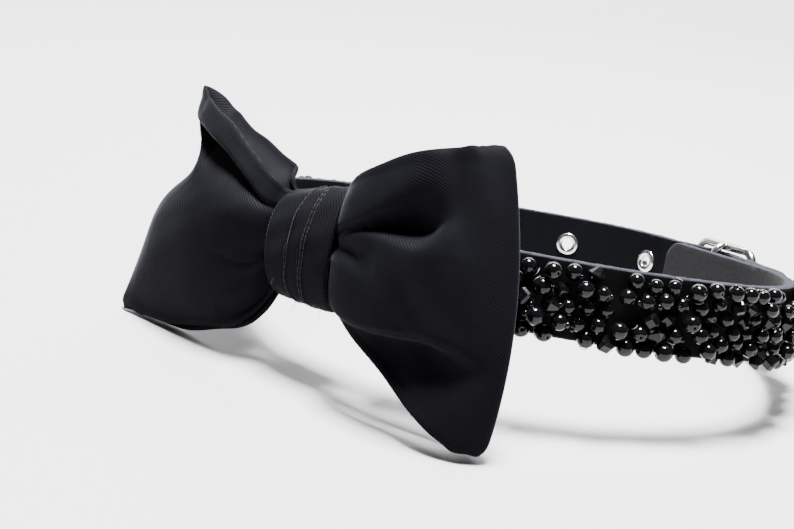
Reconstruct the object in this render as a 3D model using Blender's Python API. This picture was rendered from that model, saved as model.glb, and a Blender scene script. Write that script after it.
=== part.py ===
"""A beaded leather pet collar with a satin bow tie, resting on its bow and its rear edge.

Everything is modelled in the collar's own frame: +X to the bow's right as seen from the front, +Y
towards the back of the neck, +Z up, with the strap's middle line in the plane z = 0. The empty
collar_rest then leans that frame back until both wings of the bow and the strap's rear edge touch
the floor. A place on the collar is given as (along, out, up): along the strap from the middle of
the bow, positive to the right, out from the middle of the strap's thickness, and up across its width.
"""
import math

import bmesh
import bpy
import numpy as np
from mathutils import Matrix, Vector

# Strap
LOOP_LENGTH = 0.497        # once round the middle of the strap's thickness
STRAP_WIDTH = 0.020
STRAP_THICK = 0.0025
CLEARANCE = 0.0003         # between pieces that touch
GUARD_REACH = 0.018        # the strap's inner end, past the buckle's bar
GUARD_CORNER = 0.006
TAIL_REACH = 0.045         # the strap's outer end, past the buckle's bar the other way
TAIL_CORNER = 0.0085
STRAP_STEP = 0.0064        # how far apart the sections lie
STRAP_CLOSE_STEP = 0.0023  # the same beside the buckle
TAIL_RISE = 0.085          # the stretch over which the tail leaves the neck side

# Eyelets
EYELET_COUNT = 4
EYELET_PITCH = 0.0305
EYELET_RADIUS = 0.0040
EYELET_BORE = 0.0019
EYELET_WALL = 0.0005
EYELET_FLANGE = 0.0004
EYELET_SIDES = 12
EYELETS_TO_TIP = 1         # how many lie between the pinned one and the tail's tip

# Buckle
BUCKLE_FROM_BOW = 0.2178   # along the strap from the middle of the bow to the buckle's bar
BUCKLE_LENGTH = 0.033
BUCKLE_BEND = 0.060        # how far from its bar the strap bends more, to leave it a straight stretch
BUCKLE_CORNER = 0.005
BUCKLE_SIDE_GAP = 0.0006
FRAME_WIRE = 0.0014        # radius
BAR_WIRE = 0.0012          # radius
BAR_DROP = 0.0046          # the bar lies this far nearer the neck than the rails
PRONG_WIRE = 0.00085       # radius
PRONG_BEND = 0.0022
CHAPE_THICK = 0.0010
CHAPE_WIDTH = 0.016
CHAPE_LENGTH = 0.019
SLOT_SIDE_GAP = 0.0005

# Beads
BEAD_RADIUS = 0.00215
BEAD_SIDES = 10
BEAD_RINGS = 4
BED_THICK = 0.0026
BED_TOP = 0.0092
BED_BOTTOM = 0.0104
BEAD_SPACING = 0.0145
BEADS_FROM_BOW = 0.021     # where each field starts, beside the knot
BEADS_LEFT_END = 0.176     # along the strap to the left field's end
BEADS_TO_TIP = 0.003       # between the right field and the tail's tip

# Bow
BOW_LENGTH = 0.0555        # from the middle of the knot to the outer fold
BOW_HEIGHT = 0.037         # from the middle to the top corner
BOW_DEPTH = 0.023          # from the strap's middle to the front panel at its fullest
BOW_CLOTH = 0.0012
WAIST_HALF_LENGTH = 0.012
WING_SPINE_RADIUS = 0.600  # how gently the wings bend round the neck
BOW_COLUMNS = 17           # on each panel of a wing
BOW_ROWS = 9
FOLD_SHARE = 0.30          # of each panel, rounded into the outer fold

# Knot
KNOT_WIDTH = 0.0222
KNOT_CLOTH = 0.0013
KNOT_HEIGHT = 0.0172
KNOT_SEAM_APART = 0.0048
KNOT_SEAM_RISE = 0.0004
KNOT_SEAM_WIDTH = 0.0007
KNOT_STEPS = 28

# Lie of the whole
BOW_TURN = -3.0            # degrees from the loop's front to the middle of the bow
REST_PRESS = 0.0005        # how far the bow's hems flatten on the floor

# Reach of the loop round the neck: degrees round from its front to the right, share of the mean
LOOP_FORM = (
    (0, 0.915), (30, 0.895), (60, 1.000), (90, 1.115), (120, 1.055), (150, 1.020),
    (180, 1.040), (210, 0.985), (240, 0.970), (270, 1.015), (300, 0.980), (330, 0.920),
)

# Sections of each wing, from the waist to the outer fold. Columns: share of the wing's length, top
# and bottom as shares of BOW_HEIGHT, back and front panel as shares of BOW_DEPTH.
RIGHT_SECTIONS = (
    (0.00, 0.39, 0.39, 0.100, 0.455),
    (0.14, 0.47, 0.50, 0.290, 0.700),
    (0.30, 0.61, 0.66, 0.370, 0.880),
    (0.50, 0.78, 0.84, 0.410, 0.990),
    (0.72, 0.89, 0.98, 0.440, 1.000),
    (0.90, 0.94, 1.05, 0.470, 0.920),
    (1.00, 0.95, 1.03, 0.480, 0.860),
)
LEFT_SECTIONS = (
    (0.00, 0.39, 0.39, 0.100, 0.455),
    (0.14, 0.50, 0.60, 0.290, 0.700),
    (0.30, 0.65, 0.77, 0.370, 0.860),
    (0.50, 0.81, 0.87, 0.410, 0.950),
    (0.72, 0.93, 0.91, 0.430, 0.960),
    (0.90, 0.98, 0.93, 0.450, 0.900),
    (1.00, 0.98, 0.91, 0.460, 0.840),
)
# Lean of each wing's outer fold. Columns: length of its top and bottom, and its bulge between them,
# as shares of BOW_LENGTH, how far its top and bottom stand back, as shares of BOW_DEPTH, and how much
# closer the two panels come at the hems, as a share of their distance.
WING_LEAN = {
    "right": (0.94, 1.04, 0.09, 0.10, -0.05, 0.25),
    "left": (0.94, 1.10, -0.04, 0.10, -0.55, 0.62),
}

# Folds pressed into a panel. Columns: share of the wing's length and of its height where the fold
# starts and ends, depth there as shares of BOW_DEPTH, half width as a share of BOW_HEIGHT, and how
# much steeper its lower side is than its upper one.
RIGHT_FOLDS = (
    (-0.05, 0.16, 0.34, 0.25, 0.20, 0.30, 0.17, 3.0),
    (0.34, 0.25, 0.56, 0.42, 0.30, 0.00, 0.20, 2.2),
    (-0.05, -0.04, 0.17, 0.02, 0.15, 0.00, 0.09, 1.0),
    (-0.05, -0.55, 0.70, -0.60, 0.06, 0.12, 0.20, 0.5),
)
LEFT_FOLDS = (
    (-0.05, 0.30, 0.45, 0.34, 0.14, 0.30, 0.22, 2.0),
    (0.45, 0.34, 1.10, 0.36, 0.30, 0.42, 0.26, 1.5),
    (-0.05, -0.40, 0.35, -0.62, 0.12, 0.00, 0.15, 1.0),
)
NOTCH = (0.36, 0.18, 0.20)  # the left fold's notch: height, half height, depth as share of length


def lerp(low, high, share):
    """The value at a share of the way from low to high."""
    return low + (high - low) * share


def ease(share):
    """A share from 0 to 1 with a soft start and end."""
    share = min(max(share, 0.0), 1.0)
    return share * share * (3.0 - 2.0 * share)


def eased_table(rows, at):
    """Reads (place, value) rows in rising order, with a soft step between each two."""
    for (place, value), (next_place, next_value) in zip(rows, rows[1:]):
        if at < next_place:
            return lerp(value, next_value, ease((at - place) / (next_place - place)))
    return rows[-1][1]


def smooth_table(rows, at):
    """Reads rows of a first column and values as one smooth curve through all of them."""
    places = [row[0] for row in rows]
    values = [np.array(row[1:], float) for row in rows]
    last = len(rows) - 1
    slopes = []
    for k in range(len(rows)):
        before, after = max(k - 1, 0), min(k + 1, last)
        slopes.append((values[after] - values[before]) / (places[after] - places[before]))
    k = min(max(int(np.searchsorted(places, at)) - 1, 0), last - 1)
    span = places[k + 1] - places[k]
    x = min(max((at - places[k]) / span, 0.0), 1.0)
    return ((2 * x**3 - 3 * x**2 + 1) * values[k] + (x**3 - 2 * x**2 + x) * span * slopes[k]
            + (3 * x**2 - 2 * x**3) * values[k + 1] + (x**3 - x**2) * span * slopes[k + 1])


class Loop:
    """The closed middle line of the strap, read by the distance along it."""

    STEPS = 1440

    def __init__(self):
        rows = LOOP_FORM[-2:] + LOOP_FORM + LOOP_FORM[:3]
        rounds = [-360, -360] + [0] * len(LOOP_FORM) + [360, 360, 360]
        rows = [(row[0] + turn, row[1]) for row, turn in zip(rows, rounds)]
        degrees = BOW_TURN + np.arange(self.STEPS) * 360.0 / self.STEPS
        reach = np.array([smooth_table(rows, at)[0] for at in degrees])
        turns = np.radians(degrees)
        self.points = np.column_stack((np.sin(turns), -np.cos(turns)))
        self.points *= reach[:, None]
        self.measure()
        self.straighten(BUCKLE_FROM_BOW, GUARD_REACH, BUCKLE_BEND)
        self.measure()

    def measure(self):
        """Scales the line to its length and measures places and directions along it."""
        ring = np.vstack((self.points, self.points[:1]))
        steps = np.hypot(*np.diff(ring, axis=0).T)
        scale = LOOP_LENGTH / steps.sum()
        self.points = self.points * scale
        self.places = np.concatenate(([0.0], np.cumsum(steps * scale)))
        ahead = np.roll(self.points, -3, axis=0) - np.roll(self.points, 3, axis=0)
        self.ahead = ahead / np.hypot(*ahead.T)[:, None]

    def straighten(self, middle, half, reach):
        """Lays the stretch that carries the buckle straight and bends both sides of it more."""
        steps = np.diff(np.vstack((self.points, self.points[:1])), axis=0)
        sizes = np.hypot(*steps.T)
        turn = np.unwrap(np.arctan2(steps[:, 1], steps[:, 0]))
        away = self.places[:-1] + sizes / 2 - middle
        turn_there = np.interp(0.0, away, turn)
        for side in (-1, 1):
            edge = np.interp([side * reach * 0.99, side * reach], away, turn)
            rate = (edge[1] - edge[0]) / (0.01 * reach)
            bent = (away * side > 0) & (away * side < reach)
            share = np.clip((away[bent] * side - half) / (reach - half), 0.0, 1.0)
            turn[bent] = turn_there + (edge[1] - turn_there) * share ** 2 * (3 - 2 * share)
            turn[bent] -= rate * (reach - half) * share ** 2 * (1 - share)
        steps = np.column_stack((np.cos(turn), np.sin(turn))) * sizes[:, None]
        steps -= steps.sum(axis=0) * sizes[:, None] / sizes.sum()
        self.points = self.points[0] + np.vstack((np.zeros((1, 2)), np.cumsum(steps[:-1], axis=0)))

    def read(self, column, along):
        """A column's value at a distance along the loop, which may pass once round."""
        along = along % LOOP_LENGTH
        ring = np.vstack((column, column[:1]))
        return np.array([np.interp(along, self.places, ring[:, axis]) for axis in (0, 1)])

    def frame(self, along):
        """The point, the way ahead and the way out, at a distance along the loop."""
        ahead = self.read(self.ahead, along)
        ahead = ahead / np.hypot(*ahead)
        return self.read(self.points, along), ahead, np.array([ahead[1], -ahead[0]])

    def place(self, along, out, up):
        """A point of the collar in its own frame."""
        point, _, outward = self.frame(along)
        return (*(point + outward * out), up)

    def matrix(self, along, out, up):
        """A local frame whose X runs along the strap, Y across it upwards and Z outwards."""
        _, ahead, outward = self.frame(along)
        columns = Matrix(((ahead[0], 0.0, outward[0]), (ahead[1], 0.0, outward[1]), (0.0, 1.0, 0.0)))
        return Matrix.Translation(self.place(along, out, up)) @ columns.to_4x4()


LOOP = Loop()

# Heights above the strap's middle where the buckle's layers lie
STRAP_FACE = STRAP_THICK / 2
EYELET_FACE = STRAP_FACE + CLEARANCE + EYELET_FLANGE
TAIL_LAYER = EYELET_FACE + CLEARANCE + STRAP_FACE
BAR_OUT = STRAP_FACE + 2 * CLEARANCE + 2 * PRONG_WIRE + BAR_WIRE
CHAPE_EYE = BAR_WIRE + CLEARANCE
CHAPE_OUTER = CHAPE_EYE + CHAPE_THICK
RAIL_OUT = BAR_OUT + BAR_DROP
TAIL_OVER_BAR = BAR_OUT + CHAPE_OUTER + CLEARANCE + EYELET_FACE
TAIL_UNDER_RAIL = RAIL_OUT - FRAME_WIRE - CLEARANCE - STRAP_FACE
PRONG_LOOP = BAR_WIRE + CLEARANCE + PRONG_WIRE
RAIL_APART = BUCKLE_LENGTH / 2 - FRAME_WIRE
SIDE_APART = STRAP_WIDTH / 2 + BUCKLE_SIDE_GAP + FRAME_WIRE


def tail_out(along):
    """How far out the strap's middle lies: on the neck, then outside its own inner end."""
    from_bar = along + LOOP_LENGTH - BUCKLE_FROM_BOW
    flat = EYELET_RADIUS + CLEARANCE
    guard = GUARD_REACH + EYELET_RADIUS
    rows = (
        (-TAIL_REACH, TAIL_LAYER),
        (-RAIL_APART - EYELET_PITCH / 2, TAIL_LAYER),
        (-RAIL_APART, TAIL_UNDER_RAIL),
        (PRONG_LOOP - flat, TAIL_OVER_BAR),
        (PRONG_LOOP + flat, TAIL_OVER_BAR),
        (RAIL_APART, TAIL_UNDER_RAIL),
        (guard, TAIL_LAYER),
        (guard + TAIL_RISE, 0.0),
    )
    return eased_table(rows, from_bar)


def tail_lean(along):
    """The slope of the strap's middle as an angle."""
    step = STRAP_THICK / 6
    return math.atan((tail_out(along + step) - tail_out(along - step)) / (2 * step))


def strap_frame(along):
    """A local frame on the strap's middle: X along it, Y across it upwards, Z out of its face."""
    return LOOP.matrix(along, tail_out(along), 0.0) @ Matrix.Rotation(-tail_lean(along), 4, "Y")


def material(name, colour, roughness, metallic=0.0):
    """A plain surface finish."""
    made = bpy.data.materials.new(name)
    made.use_nodes = True
    shader = made.node_tree.nodes["Principled BSDF"]
    shader.inputs["Base Color"].default_value = (*colour, 1.0)
    shader.inputs["Roughness"].default_value = roughness
    shader.inputs["Metallic"].default_value = metallic
    return made


def build_object(name, vertices, faces, finish=None, smooth=False):
    """A mesh object, with its faces turned outwards."""
    mesh = bpy.data.meshes.new(name)
    shape = bmesh.new()
    corners = [shape.verts.new(vertex) for vertex in vertices]
    for face in faces:
        shape.faces.new([corners[k] for k in face])
    bmesh.ops.recalc_face_normals(shape, faces=shape.faces)
    shape.to_mesh(mesh)
    shape.free()
    made = bpy.data.objects.new(name, mesh)
    bpy.context.scene.collection.objects.link(made)
    if finish:
        mesh.materials.append(finish)
    if smooth:
        mesh.shade_smooth()
        mesh.set_sharp_from_angle(angle=math.radians(40))
    return made


def grid_faces(rings, sides, closed):
    """Faces between rings of points: an open run with two end caps, or a closed ring."""
    faces = []
    for ring in range(rings if closed else rings - 1):
        onward = (ring + 1) % rings
        for side in range(sides):
            beside = (side + 1) % sides
            faces.append((ring * sides + side, ring * sides + beside,
                          onward * sides + beside, onward * sides + side))
    if not closed:
        faces.append(tuple(range(sides)))
        faces.append(tuple((rings - 1) * sides + side for side in range(sides)))
    return faces


def sweep(name, route, section, finish=None, closed=False, smooth=False, turn_from=(0.0, 0.0, 1.0)):
    """A section carried along a route, square to it. Section points are (side, over)."""
    points = [Vector(point) for point in route]
    count = len(points)
    vertices = []
    for k, point in enumerate(points):
        before = points[(k - 1) % count] if closed else points[max(k - 1, 0)]
        after = points[(k + 1) % count] if closed else points[min(k + 1, count - 1)]
        ahead = (after - before).normalized()
        side = Vector(turn_from).cross(ahead).normalized()
        over = ahead.cross(side)
        vertices += [point + side * x + over * y for x, y in section]
    return build_object(name, vertices, grid_faces(count, len(section), closed), finish, smooth)


def circle(radius, sides):
    """The corners of a round section."""
    turns = [math.tau * k / sides for k in range(sides)]
    return [(radius * math.cos(turn), radius * math.sin(turn)) for turn in turns]


def cut_or_join(made, other, operation, keep_guide=True):
    """A Boolean with a hidden guide object."""
    step = made.modifiers.new(operation.lower(), "BOOLEAN")
    step.operation = operation
    step.solver = "EXACT"
    step.object = other
    other.hide_render = keep_guide
    other.display_type = "WIRE"


def end_half_width(from_end, corner):
    """Half the strap's width near an end with rounded corners."""
    if from_end >= corner:
        return STRAP_WIDTH / 2
    return STRAP_WIDTH / 2 - corner + math.sqrt(corner**2 - (corner - from_end) ** 2)


def strap_places():
    """Where the strap's sections lie, from its inner end to its tip: closer at ends and buckle."""
    inner = BUCKLE_FROM_BOW + GUARD_REACH
    tip = BUCKLE_FROM_BOW - LOOP_LENGTH - TAIL_REACH
    corner_turns = [math.radians(turn) for turn in (0, 30, 60, 90)]
    start = [inner - GUARD_CORNER * (1 - math.cos(turn)) for turn in corner_turns]
    end = [tip + TAIL_CORNER * (1 - math.cos(turn)) for turn in reversed(corner_turns)]
    buckled = BUCKLE_FROM_BOW - LOOP_LENGTH + EYELET_PITCH + 2 * EYELET_RADIUS
    plain = np.linspace(start[-1], buckled, round((start[-1] - buckled) / STRAP_STEP) + 1)[1:]
    close = np.linspace(buckled, end[0], round((buckled - end[0]) / STRAP_CLOSE_STEP) + 1)[1:-1]
    return [*start, *plain, *close, *end]


def strap_corners(along):
    """The four corners of the strap's section."""
    inner = BUCKLE_FROM_BOW + GUARD_REACH
    tip = BUCKLE_FROM_BOW - LOOP_LENGTH - TAIL_REACH
    half = min(end_half_width(inner - along, GUARD_CORNER), end_half_width(along - tip, TAIL_CORNER))
    middle = tail_out(along)
    lean = tail_lean(along)
    corners = []
    for out, up in ((-1, -half), (1, -half), (1, half), (-1, half)):
        reach = out * STRAP_FACE
        corners.append(LOOP.place(along - reach * math.sin(lean), middle + reach * math.cos(lean), up))
    return corners


def bead(place, turn):
    """The points and faces of one round bead."""
    axis_turn = Matrix.Rotation(turn, 3, Vector((0.3, 1.0, 0.5)).normalized())
    points = [Vector((0, 0, BEAD_RADIUS))]
    for ring in range(1, BEAD_RINGS):
        polar = math.pi * ring / BEAD_RINGS
        for x, y in circle(BEAD_RADIUS * math.sin(polar), BEAD_SIDES):
            points.append(Vector((x, y, BEAD_RADIUS * math.cos(polar))))
    points.append(Vector((0, 0, -BEAD_RADIUS)))
    faces = []
    last = len(points) - 1
    for side in range(BEAD_SIDES):
        beside = (side + 1) % BEAD_SIDES
        faces.append((0, 1 + side, 1 + beside))
        for ring in range(BEAD_RINGS - 2):
            near, far = 1 + ring * BEAD_SIDES, 1 + (ring + 1) * BEAD_SIDES
            faces.append((near + side, far + side, far + beside, near + beside))
        faces.append((last - BEAD_SIDES + side, last, last - BEAD_SIDES + beside))
    return [axis_turn @ point + Vector(place) for point in points], faces


def bead_field(name, start, end, finish):
    """A bed on the strap's outer face with rows of beads fused to it."""
    low = STRAP_FACE + CLEARANCE
    high = low + BED_THICK
    section = ((low, -STRAP_WIDTH / 2), (high * 0.8, -BED_BOTTOM), (high, -BED_BOTTOM * 0.8),
               (high, BED_TOP * 0.8), (high * 0.85, BED_TOP), (low, BED_TOP))
    places = np.linspace(start, end, round(abs(end - start) / 0.0065) + 1)
    vertices = [LOOP.place(along, tail_out(along) + out, up) for along in places for out, up in section]
    bed = build_object(name, vertices, grid_faces(len(places), len(section), False), finish)
    rows = ((BED_TOP * 0.66, 0.25, 0.92), (-BED_BOTTOM * 0.06, 0.75, 1.0), (-BED_BOTTOM * 0.80, 0.25, 0.92))
    columns = int(abs(end - start) / BEAD_SPACING)
    points, faces = [], []
    for column in range(columns):
        for row, (up, shift, lift) in enumerate(rows):
            along = lerp(start, end, (column + shift) / columns)
            wander = 0.25 * BEAD_RADIUS * math.sin(2.1 * column + 1.7 * row)
            out = tail_out(along) + high * lift
            ball, skin = bead(LOOP.place(along, out, up + wander), 0.7 * column + row)
            faces += [[k + len(points) for k in face] for face in skin]
            points += ball
    beads = build_object(name + "_beads", points, faces)
    cut_or_join(bed, beads, "UNION")
    return [bed, beads]


def eyelet(name, along, finish):
    """A rolled eyelet: a barrel through the strap with a flange on each face."""
    barrel = EYELET_BORE + EYELET_WALL
    seat = EYELET_FACE - EYELET_FLANGE
    profile = ((EYELET_BORE, seat), (EYELET_BORE * 1.25, EYELET_FACE), (EYELET_RADIUS * 0.85, EYELET_FACE),
               (EYELET_RADIUS, seat), (barrel, seat))
    profile = [*profile, *((radius, -up) for radius, up in reversed(profile))]
    sides = EYELET_SIDES
    frame = strap_frame(along)
    vertices = [frame @ Vector((radius * x, radius * y, up)) for x, y in circle(1.0, sides) for radius, up in profile]
    return build_object(name, vertices, grid_faces(sides, len(profile), True), finish, smooth=True)


def eyelet_places():
    """Where the eyelets lie along the strap: the pinned one and its neighbours."""
    pinned = BUCKLE_FROM_BOW - LOOP_LENGTH + PRONG_LOOP
    return [pinned + EYELET_PITCH * (k - EYELETS_TO_TIP) for k in range(EYELET_COUNT)]


def eyelet_cutter(name, along):
    """The punched hole for an eyelet."""
    frame = strap_frame(along)
    radius = EYELET_BORE + EYELET_WALL + CLEARANCE
    reach = STRAP_THICK
    vertices = [frame @ Vector((x, y, up)) for up in (-reach, reach) for x, y in circle(radius, EYELET_SIDES)]
    return build_object(name, vertices, grid_faces(2, EYELET_SIDES, False))


def buckle_place(along, out, up):
    """A point beside the buckle's bar: along the straight stretch, out and up."""
    frame = LOOP.matrix(BUCKLE_FROM_BOW, 0.0, 0.0)
    return frame @ Vector((along, up, out))


def buckle_frame(finish):
    """Four rails with round corners, and the bar that dips towards the neck."""
    route = []
    for quarter in range(4):
        along_side = 1 if quarter in (0, 3) else -1
        up_side = 1 if quarter in (0, 1) else -1
        for step in range(5):
            turn = math.radians(90 * quarter + 22.5 * step)
            along = along_side * (RAIL_APART - BUCKLE_CORNER) + BUCKLE_CORNER * math.cos(turn)
            up = up_side * (SIDE_APART - BUCKLE_CORNER) + BUCKLE_CORNER * math.sin(turn)
            route.append(buckle_place(along, RAIL_OUT, up))
    outward = buckle_place(0, 1, 0) - buckle_place(0, 0, 0)
    frame = sweep("buckle_frame", route, circle(FRAME_WIRE, 10), finish, closed=True, smooth=True, turn_from=outward)
    straight = CHAPE_WIDTH / 2 + CLEARANCE
    half = ((SIDE_APART, 1.0), (SIDE_APART, 0.62), (lerp(SIDE_APART, straight, 0.25), 0.25),
            (lerp(SIDE_APART, straight, 0.65), 0.05), (straight, 0.0))
    rows = [*half, *((-up, share) for up, share in reversed(half))]
    bar_route = [buckle_place(0.0, BAR_OUT + BAR_DROP * share, up) for up, share in rows]
    along = buckle_place(1, 0, 0) - buckle_place(0, 0, 0)
    bar = sweep("buckle_bar", bar_route, circle(BAR_WIRE, 8), turn_from=along)
    cut_or_join(frame, bar, "UNION")
    return [frame, bar]


def buckle_prong(finish):
    """A wire wrapped round the bar, up through the eyelet and over to the front rail."""
    route = []
    for step in range(11):
        turn = math.radians(lerp(110, 360, step / 10))
        route.append((PRONG_LOOP * math.cos(turn), BAR_OUT + PRONG_LOOP * math.sin(turn)))
    top = TAIL_OVER_BAR + EYELET_FACE + CLEARANCE + PRONG_WIRE
    for step in range(6):
        turn = math.radians(180 - 90 * step / 5)
        route.append((PRONG_LOOP + PRONG_BEND * (1 + math.cos(turn)), top + PRONG_BEND * (math.sin(turn) - 1)))
    tip_out = RAIL_OUT + FRAME_WIRE + CLEARANCE + PRONG_WIRE
    route.append((PRONG_LOOP + EYELET_RADIUS + PRONG_WIRE, top))
    route.append((RAIL_APART, tip_out))
    route.append((RAIL_APART + FRAME_WIRE, tip_out))
    points = [buckle_place(along, out, 0.0) for along, out in route]
    up = buckle_place(0, 0, 1) - buckle_place(0, 0, 0)
    return sweep("buckle_prong", points, circle(PRONG_WIRE, 8), finish, smooth=True, turn_from=up)


def extruded(name, outline, half_width, finish=None):
    """A flat outline of (along, out) points at the buckle, carried across the strap."""
    vertices = [buckle_place(along, out, up) for up in (-half_width, half_width) for along, out in outline]
    return build_object(name, vertices, grid_faces(2, len(outline), False), finish)


def buckle_chape(finish):
    """A folded tab that wraps the bar and lies doubled on the strap, slotted for the prong."""
    low = STRAP_FACE + CLEARANCE
    doubled = low + 2 * CHAPE_THICK
    outline = [(-CHAPE_LENGTH, low), (-CHAPE_OUTER * 2, low)]
    for step in range(9):
        turn = math.radians(lerp(-120, 120, step / 8))
        outline.append((CHAPE_OUTER * math.cos(turn), BAR_OUT + CHAPE_OUTER * math.sin(turn)))
    outline += [(-CHAPE_OUTER * 2.6, doubled), (-CHAPE_LENGTH, doubled)]
    tab = extruded("buckle_chape", outline, CHAPE_WIDTH / 2, finish)
    eye = extruded("chape_eye", [(x, BAR_OUT + y) for x, y in circle(CHAPE_EYE, 10)], CHAPE_WIDTH)
    swing = PRONG_LOOP + PRONG_WIRE + CLEARANCE
    slot = [(-swing, 0.0), (swing, 0.0), (swing, RAIL_OUT), (-swing, RAIL_OUT)]
    slot = extruded("chape_slot", slot, PRONG_WIRE + SLOT_SIDE_GAP)
    cut_or_join(tab, eye, "DIFFERENCE")
    cut_or_join(tab, slot, "DIFFERENCE")
    return [tab, eye, slot]


def wing_spine(side, length):
    """The wing's middle line: the strap's as far as the waist reaches, then a gentler bend."""
    reach = min(length, WAIST_HALF_LENGTH)
    point, ahead, outward = LOOP.frame(side * reach)
    turn = (length - reach) / WING_SPINE_RADIUS
    across = WING_SPINE_RADIUS * math.sin(turn)
    back = WING_SPINE_RADIUS * (1 - math.cos(turn))
    out = outward * math.cos(turn) + ahead * side * math.sin(turn)
    return point + ahead * side * across - outward * back, out


def waist_round(height_share):
    """How far out the gathered waist's panels stand, from their middle."""
    return math.sqrt(1.0 - 0.80 * height_share**2)


def fold_depth(folds, length_share, height_share):
    """How far the folds press a panel in, as a share of the bow's depth."""
    total = 0.0
    for l0, h0, l1, h1, deep0, deep1, width, steep in folds:
        along = min(max((length_share - l0) / (l1 - l0), 0.0), 1.0)
        past = max(length_share - l1, l0 - length_share, 0.0) * BOW_LENGTH / BOW_HEIGHT
        across = height_share - lerp(h0, h1, along)
        across *= steep if across < 0 else 1.0
        total += lerp(deep0, deep1, along) * math.exp(-(across / width) ** 2 - (past / width) ** 2)
    return total


def wing_point(side, around, height_share):
    """A point of a wing. Around runs from 1, front at the waist, over 0, the outer fold, to -1."""
    name = "right" if side > 0 else "left"
    sections = RIGHT_SECTIONS if side > 0 else LEFT_SECTIONS
    folds = RIGHT_FOLDS if side > 0 else LEFT_FOLDS
    long_top, long_bottom, bulge, back_top, back_bottom, hem_close = WING_LEAN[name]
    away = abs(around)
    length_share = 1.0 - away**2 / lerp(FOLD_SHARE, 1.0, away)
    top, bottom, back, front = smooth_table(sections, length_share)
    rise = (height_share + 1.0) / 2.0
    up = lerp(-bottom, top, rise) * BOW_HEIGHT
    longest = (lerp(long_bottom, long_top, rise) + bulge * (1 - height_share**2)) * BOW_LENGTH
    if side < 0:
        notch_at, notch_half, notch_deep = NOTCH
        longest -= notch_deep * BOW_LENGTH * math.exp(-((height_share - notch_at) / notch_half) ** 2)
    length = lerp(WAIST_HALF_LENGTH, longest, length_share)
    middle = (front + back) / 2
    flat = lerp(waist_round(height_share), 1.0 - hem_close * height_share**2, ease(length_share * 3.0))
    half = (front - back) / 2 * flat * math.sin(min(1.0, away / FOLD_SHARE) * math.pi / 2)
    if around > 0:
        press = fold_depth(folds, length_share, height_share)
        half -= min(press, 0.55 * (front - back)) * min(1.0, away / FOLD_SHARE)
    out = (middle + math.copysign(1.0, around) * half) * BOW_DEPTH
    out -= lerp(back_bottom, back_top, rise) * BOW_DEPTH * length_share**2
    point, outward = wing_spine(side, length)
    return np.array((*(point + outward * out), up))


def waist_point(along, front, height_share):
    """A point of the gathered waist inside the knot."""
    _, _, back_share, front_share = smooth_table(RIGHT_SECTIONS, 0.0)
    middle = (front_share + back_share) / 2 * BOW_DEPTH
    half = (front_share - back_share) / 2 * BOW_DEPTH * waist_round(height_share)
    up = height_share * RIGHT_SECTIONS[0][1] * BOW_HEIGHT
    return np.array(LOOP.place(along, middle + (half if front else -half), up))


def bow_surface(columns, rows):
    """The middle of the bow's cloth as a ring of columns, each from its bottom hem to its top."""
    heights = np.linspace(-1.0, 1.0, rows + 1)
    across = [WAIST_HALF_LENGTH * share for share in (-0.5, 0.0, 0.5)]
    panel = [k / columns for k in range(columns, -columns - 1, -1)]
    ring = [[waist_point(along, True, h) for h in heights] for along in across]
    ring += [[wing_point(1, around, h) for h in heights] for around in panel]
    ring += [[waist_point(-along, False, h) for h in heights] for along in across]
    ring += [[wing_point(-1, -around, h) for h in heights] for around in panel]
    return np.array(ring)


def bow_shells(surface, thick):
    """The outer and the inner face of the cloth, half its thickness off the middle."""
    around = np.roll(surface, -1, axis=0) - np.roll(surface, 1, axis=0)
    up = np.gradient(surface, axis=1)
    normal = np.cross(around, up)
    normal /= np.linalg.norm(normal, axis=2)[:, :, None]
    return surface - normal * thick / 2, surface + normal * thick / 2


def bow_loop(finish):
    """The bow as one closed band of cloth with its real hollow."""
    surface = bow_surface(BOW_COLUMNS, BOW_ROWS)
    inner, outer = bow_shells(surface, BOW_CLOTH)
    count, rows = surface.shape[:2]
    sides = 2 * rows
    vertices = [point for k in range(count) for point in (*outer[k], *inner[k][::-1])]
    return build_object("bow_loop", vertices, grid_faces(count, sides, True), finish, smooth=True)


def knot_ring(turn):
    """The knot's middle line, round the waist and the strap, as (out, up)."""
    _, _, back_share, front_share = smooth_table(RIGHT_SECTIONS, 0.0)
    middle = (front_share + back_share) / 2 * BOW_DEPTH
    front = front_share * BOW_DEPTH - middle + (BOW_CLOTH + KNOT_CLOTH) / 2 + 2 * CLEARANCE
    back = middle + STRAP_FACE + KNOT_CLOTH / 2 + 4 * CLEARANCE
    across, over = math.cos(turn), math.sin(turn)
    power = 2.3 if across > 0 else 4.0
    size = (abs(across) ** power + abs(over) ** power) ** (-1 / power)
    return middle + size * across * (front if across > 0 else back), size * over * KNOT_HEIGHT


def knot(finish):
    """A strip of cloth round the waist and the strap, with two raised seams down its middle."""
    half, cloth = KNOT_WIDTH / 2, KNOT_CLOTH / 2
    seam, ridge = KNOT_SEAM_APART / 2, KNOT_SEAM_WIDTH
    raised = cloth + KNOT_SEAM_RISE
    outer = [(-half, 0.4 * cloth), (-half * 0.93, cloth), (-seam - ridge, cloth), (-seam, raised),
             (-seam + ridge, cloth), (seam - ridge, cloth), (seam, raised), (seam + ridge, cloth),
             (half * 0.93, cloth), (half, 0.4 * cloth)]
    section = [*outer, *((half * share, -cloth) for share in (1.0, 0.5, 0.0, -0.5, -1.0))]
    vertices = []
    for step in range(KNOT_STEPS):
        turn = math.tau * step / KNOT_STEPS
        out, up = knot_ring(turn)
        ahead = np.subtract(knot_ring(turn + 0.01), knot_ring(turn - 0.01))
        ahead = ahead / np.hypot(*ahead)
        for along, over in section:
            vertices.append(LOOP.place(along, out + over * ahead[1], up - over * ahead[0]))
    return build_object("knot", vertices, grid_faces(KNOT_STEPS, len(section), True), finish, smooth=True)


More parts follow.
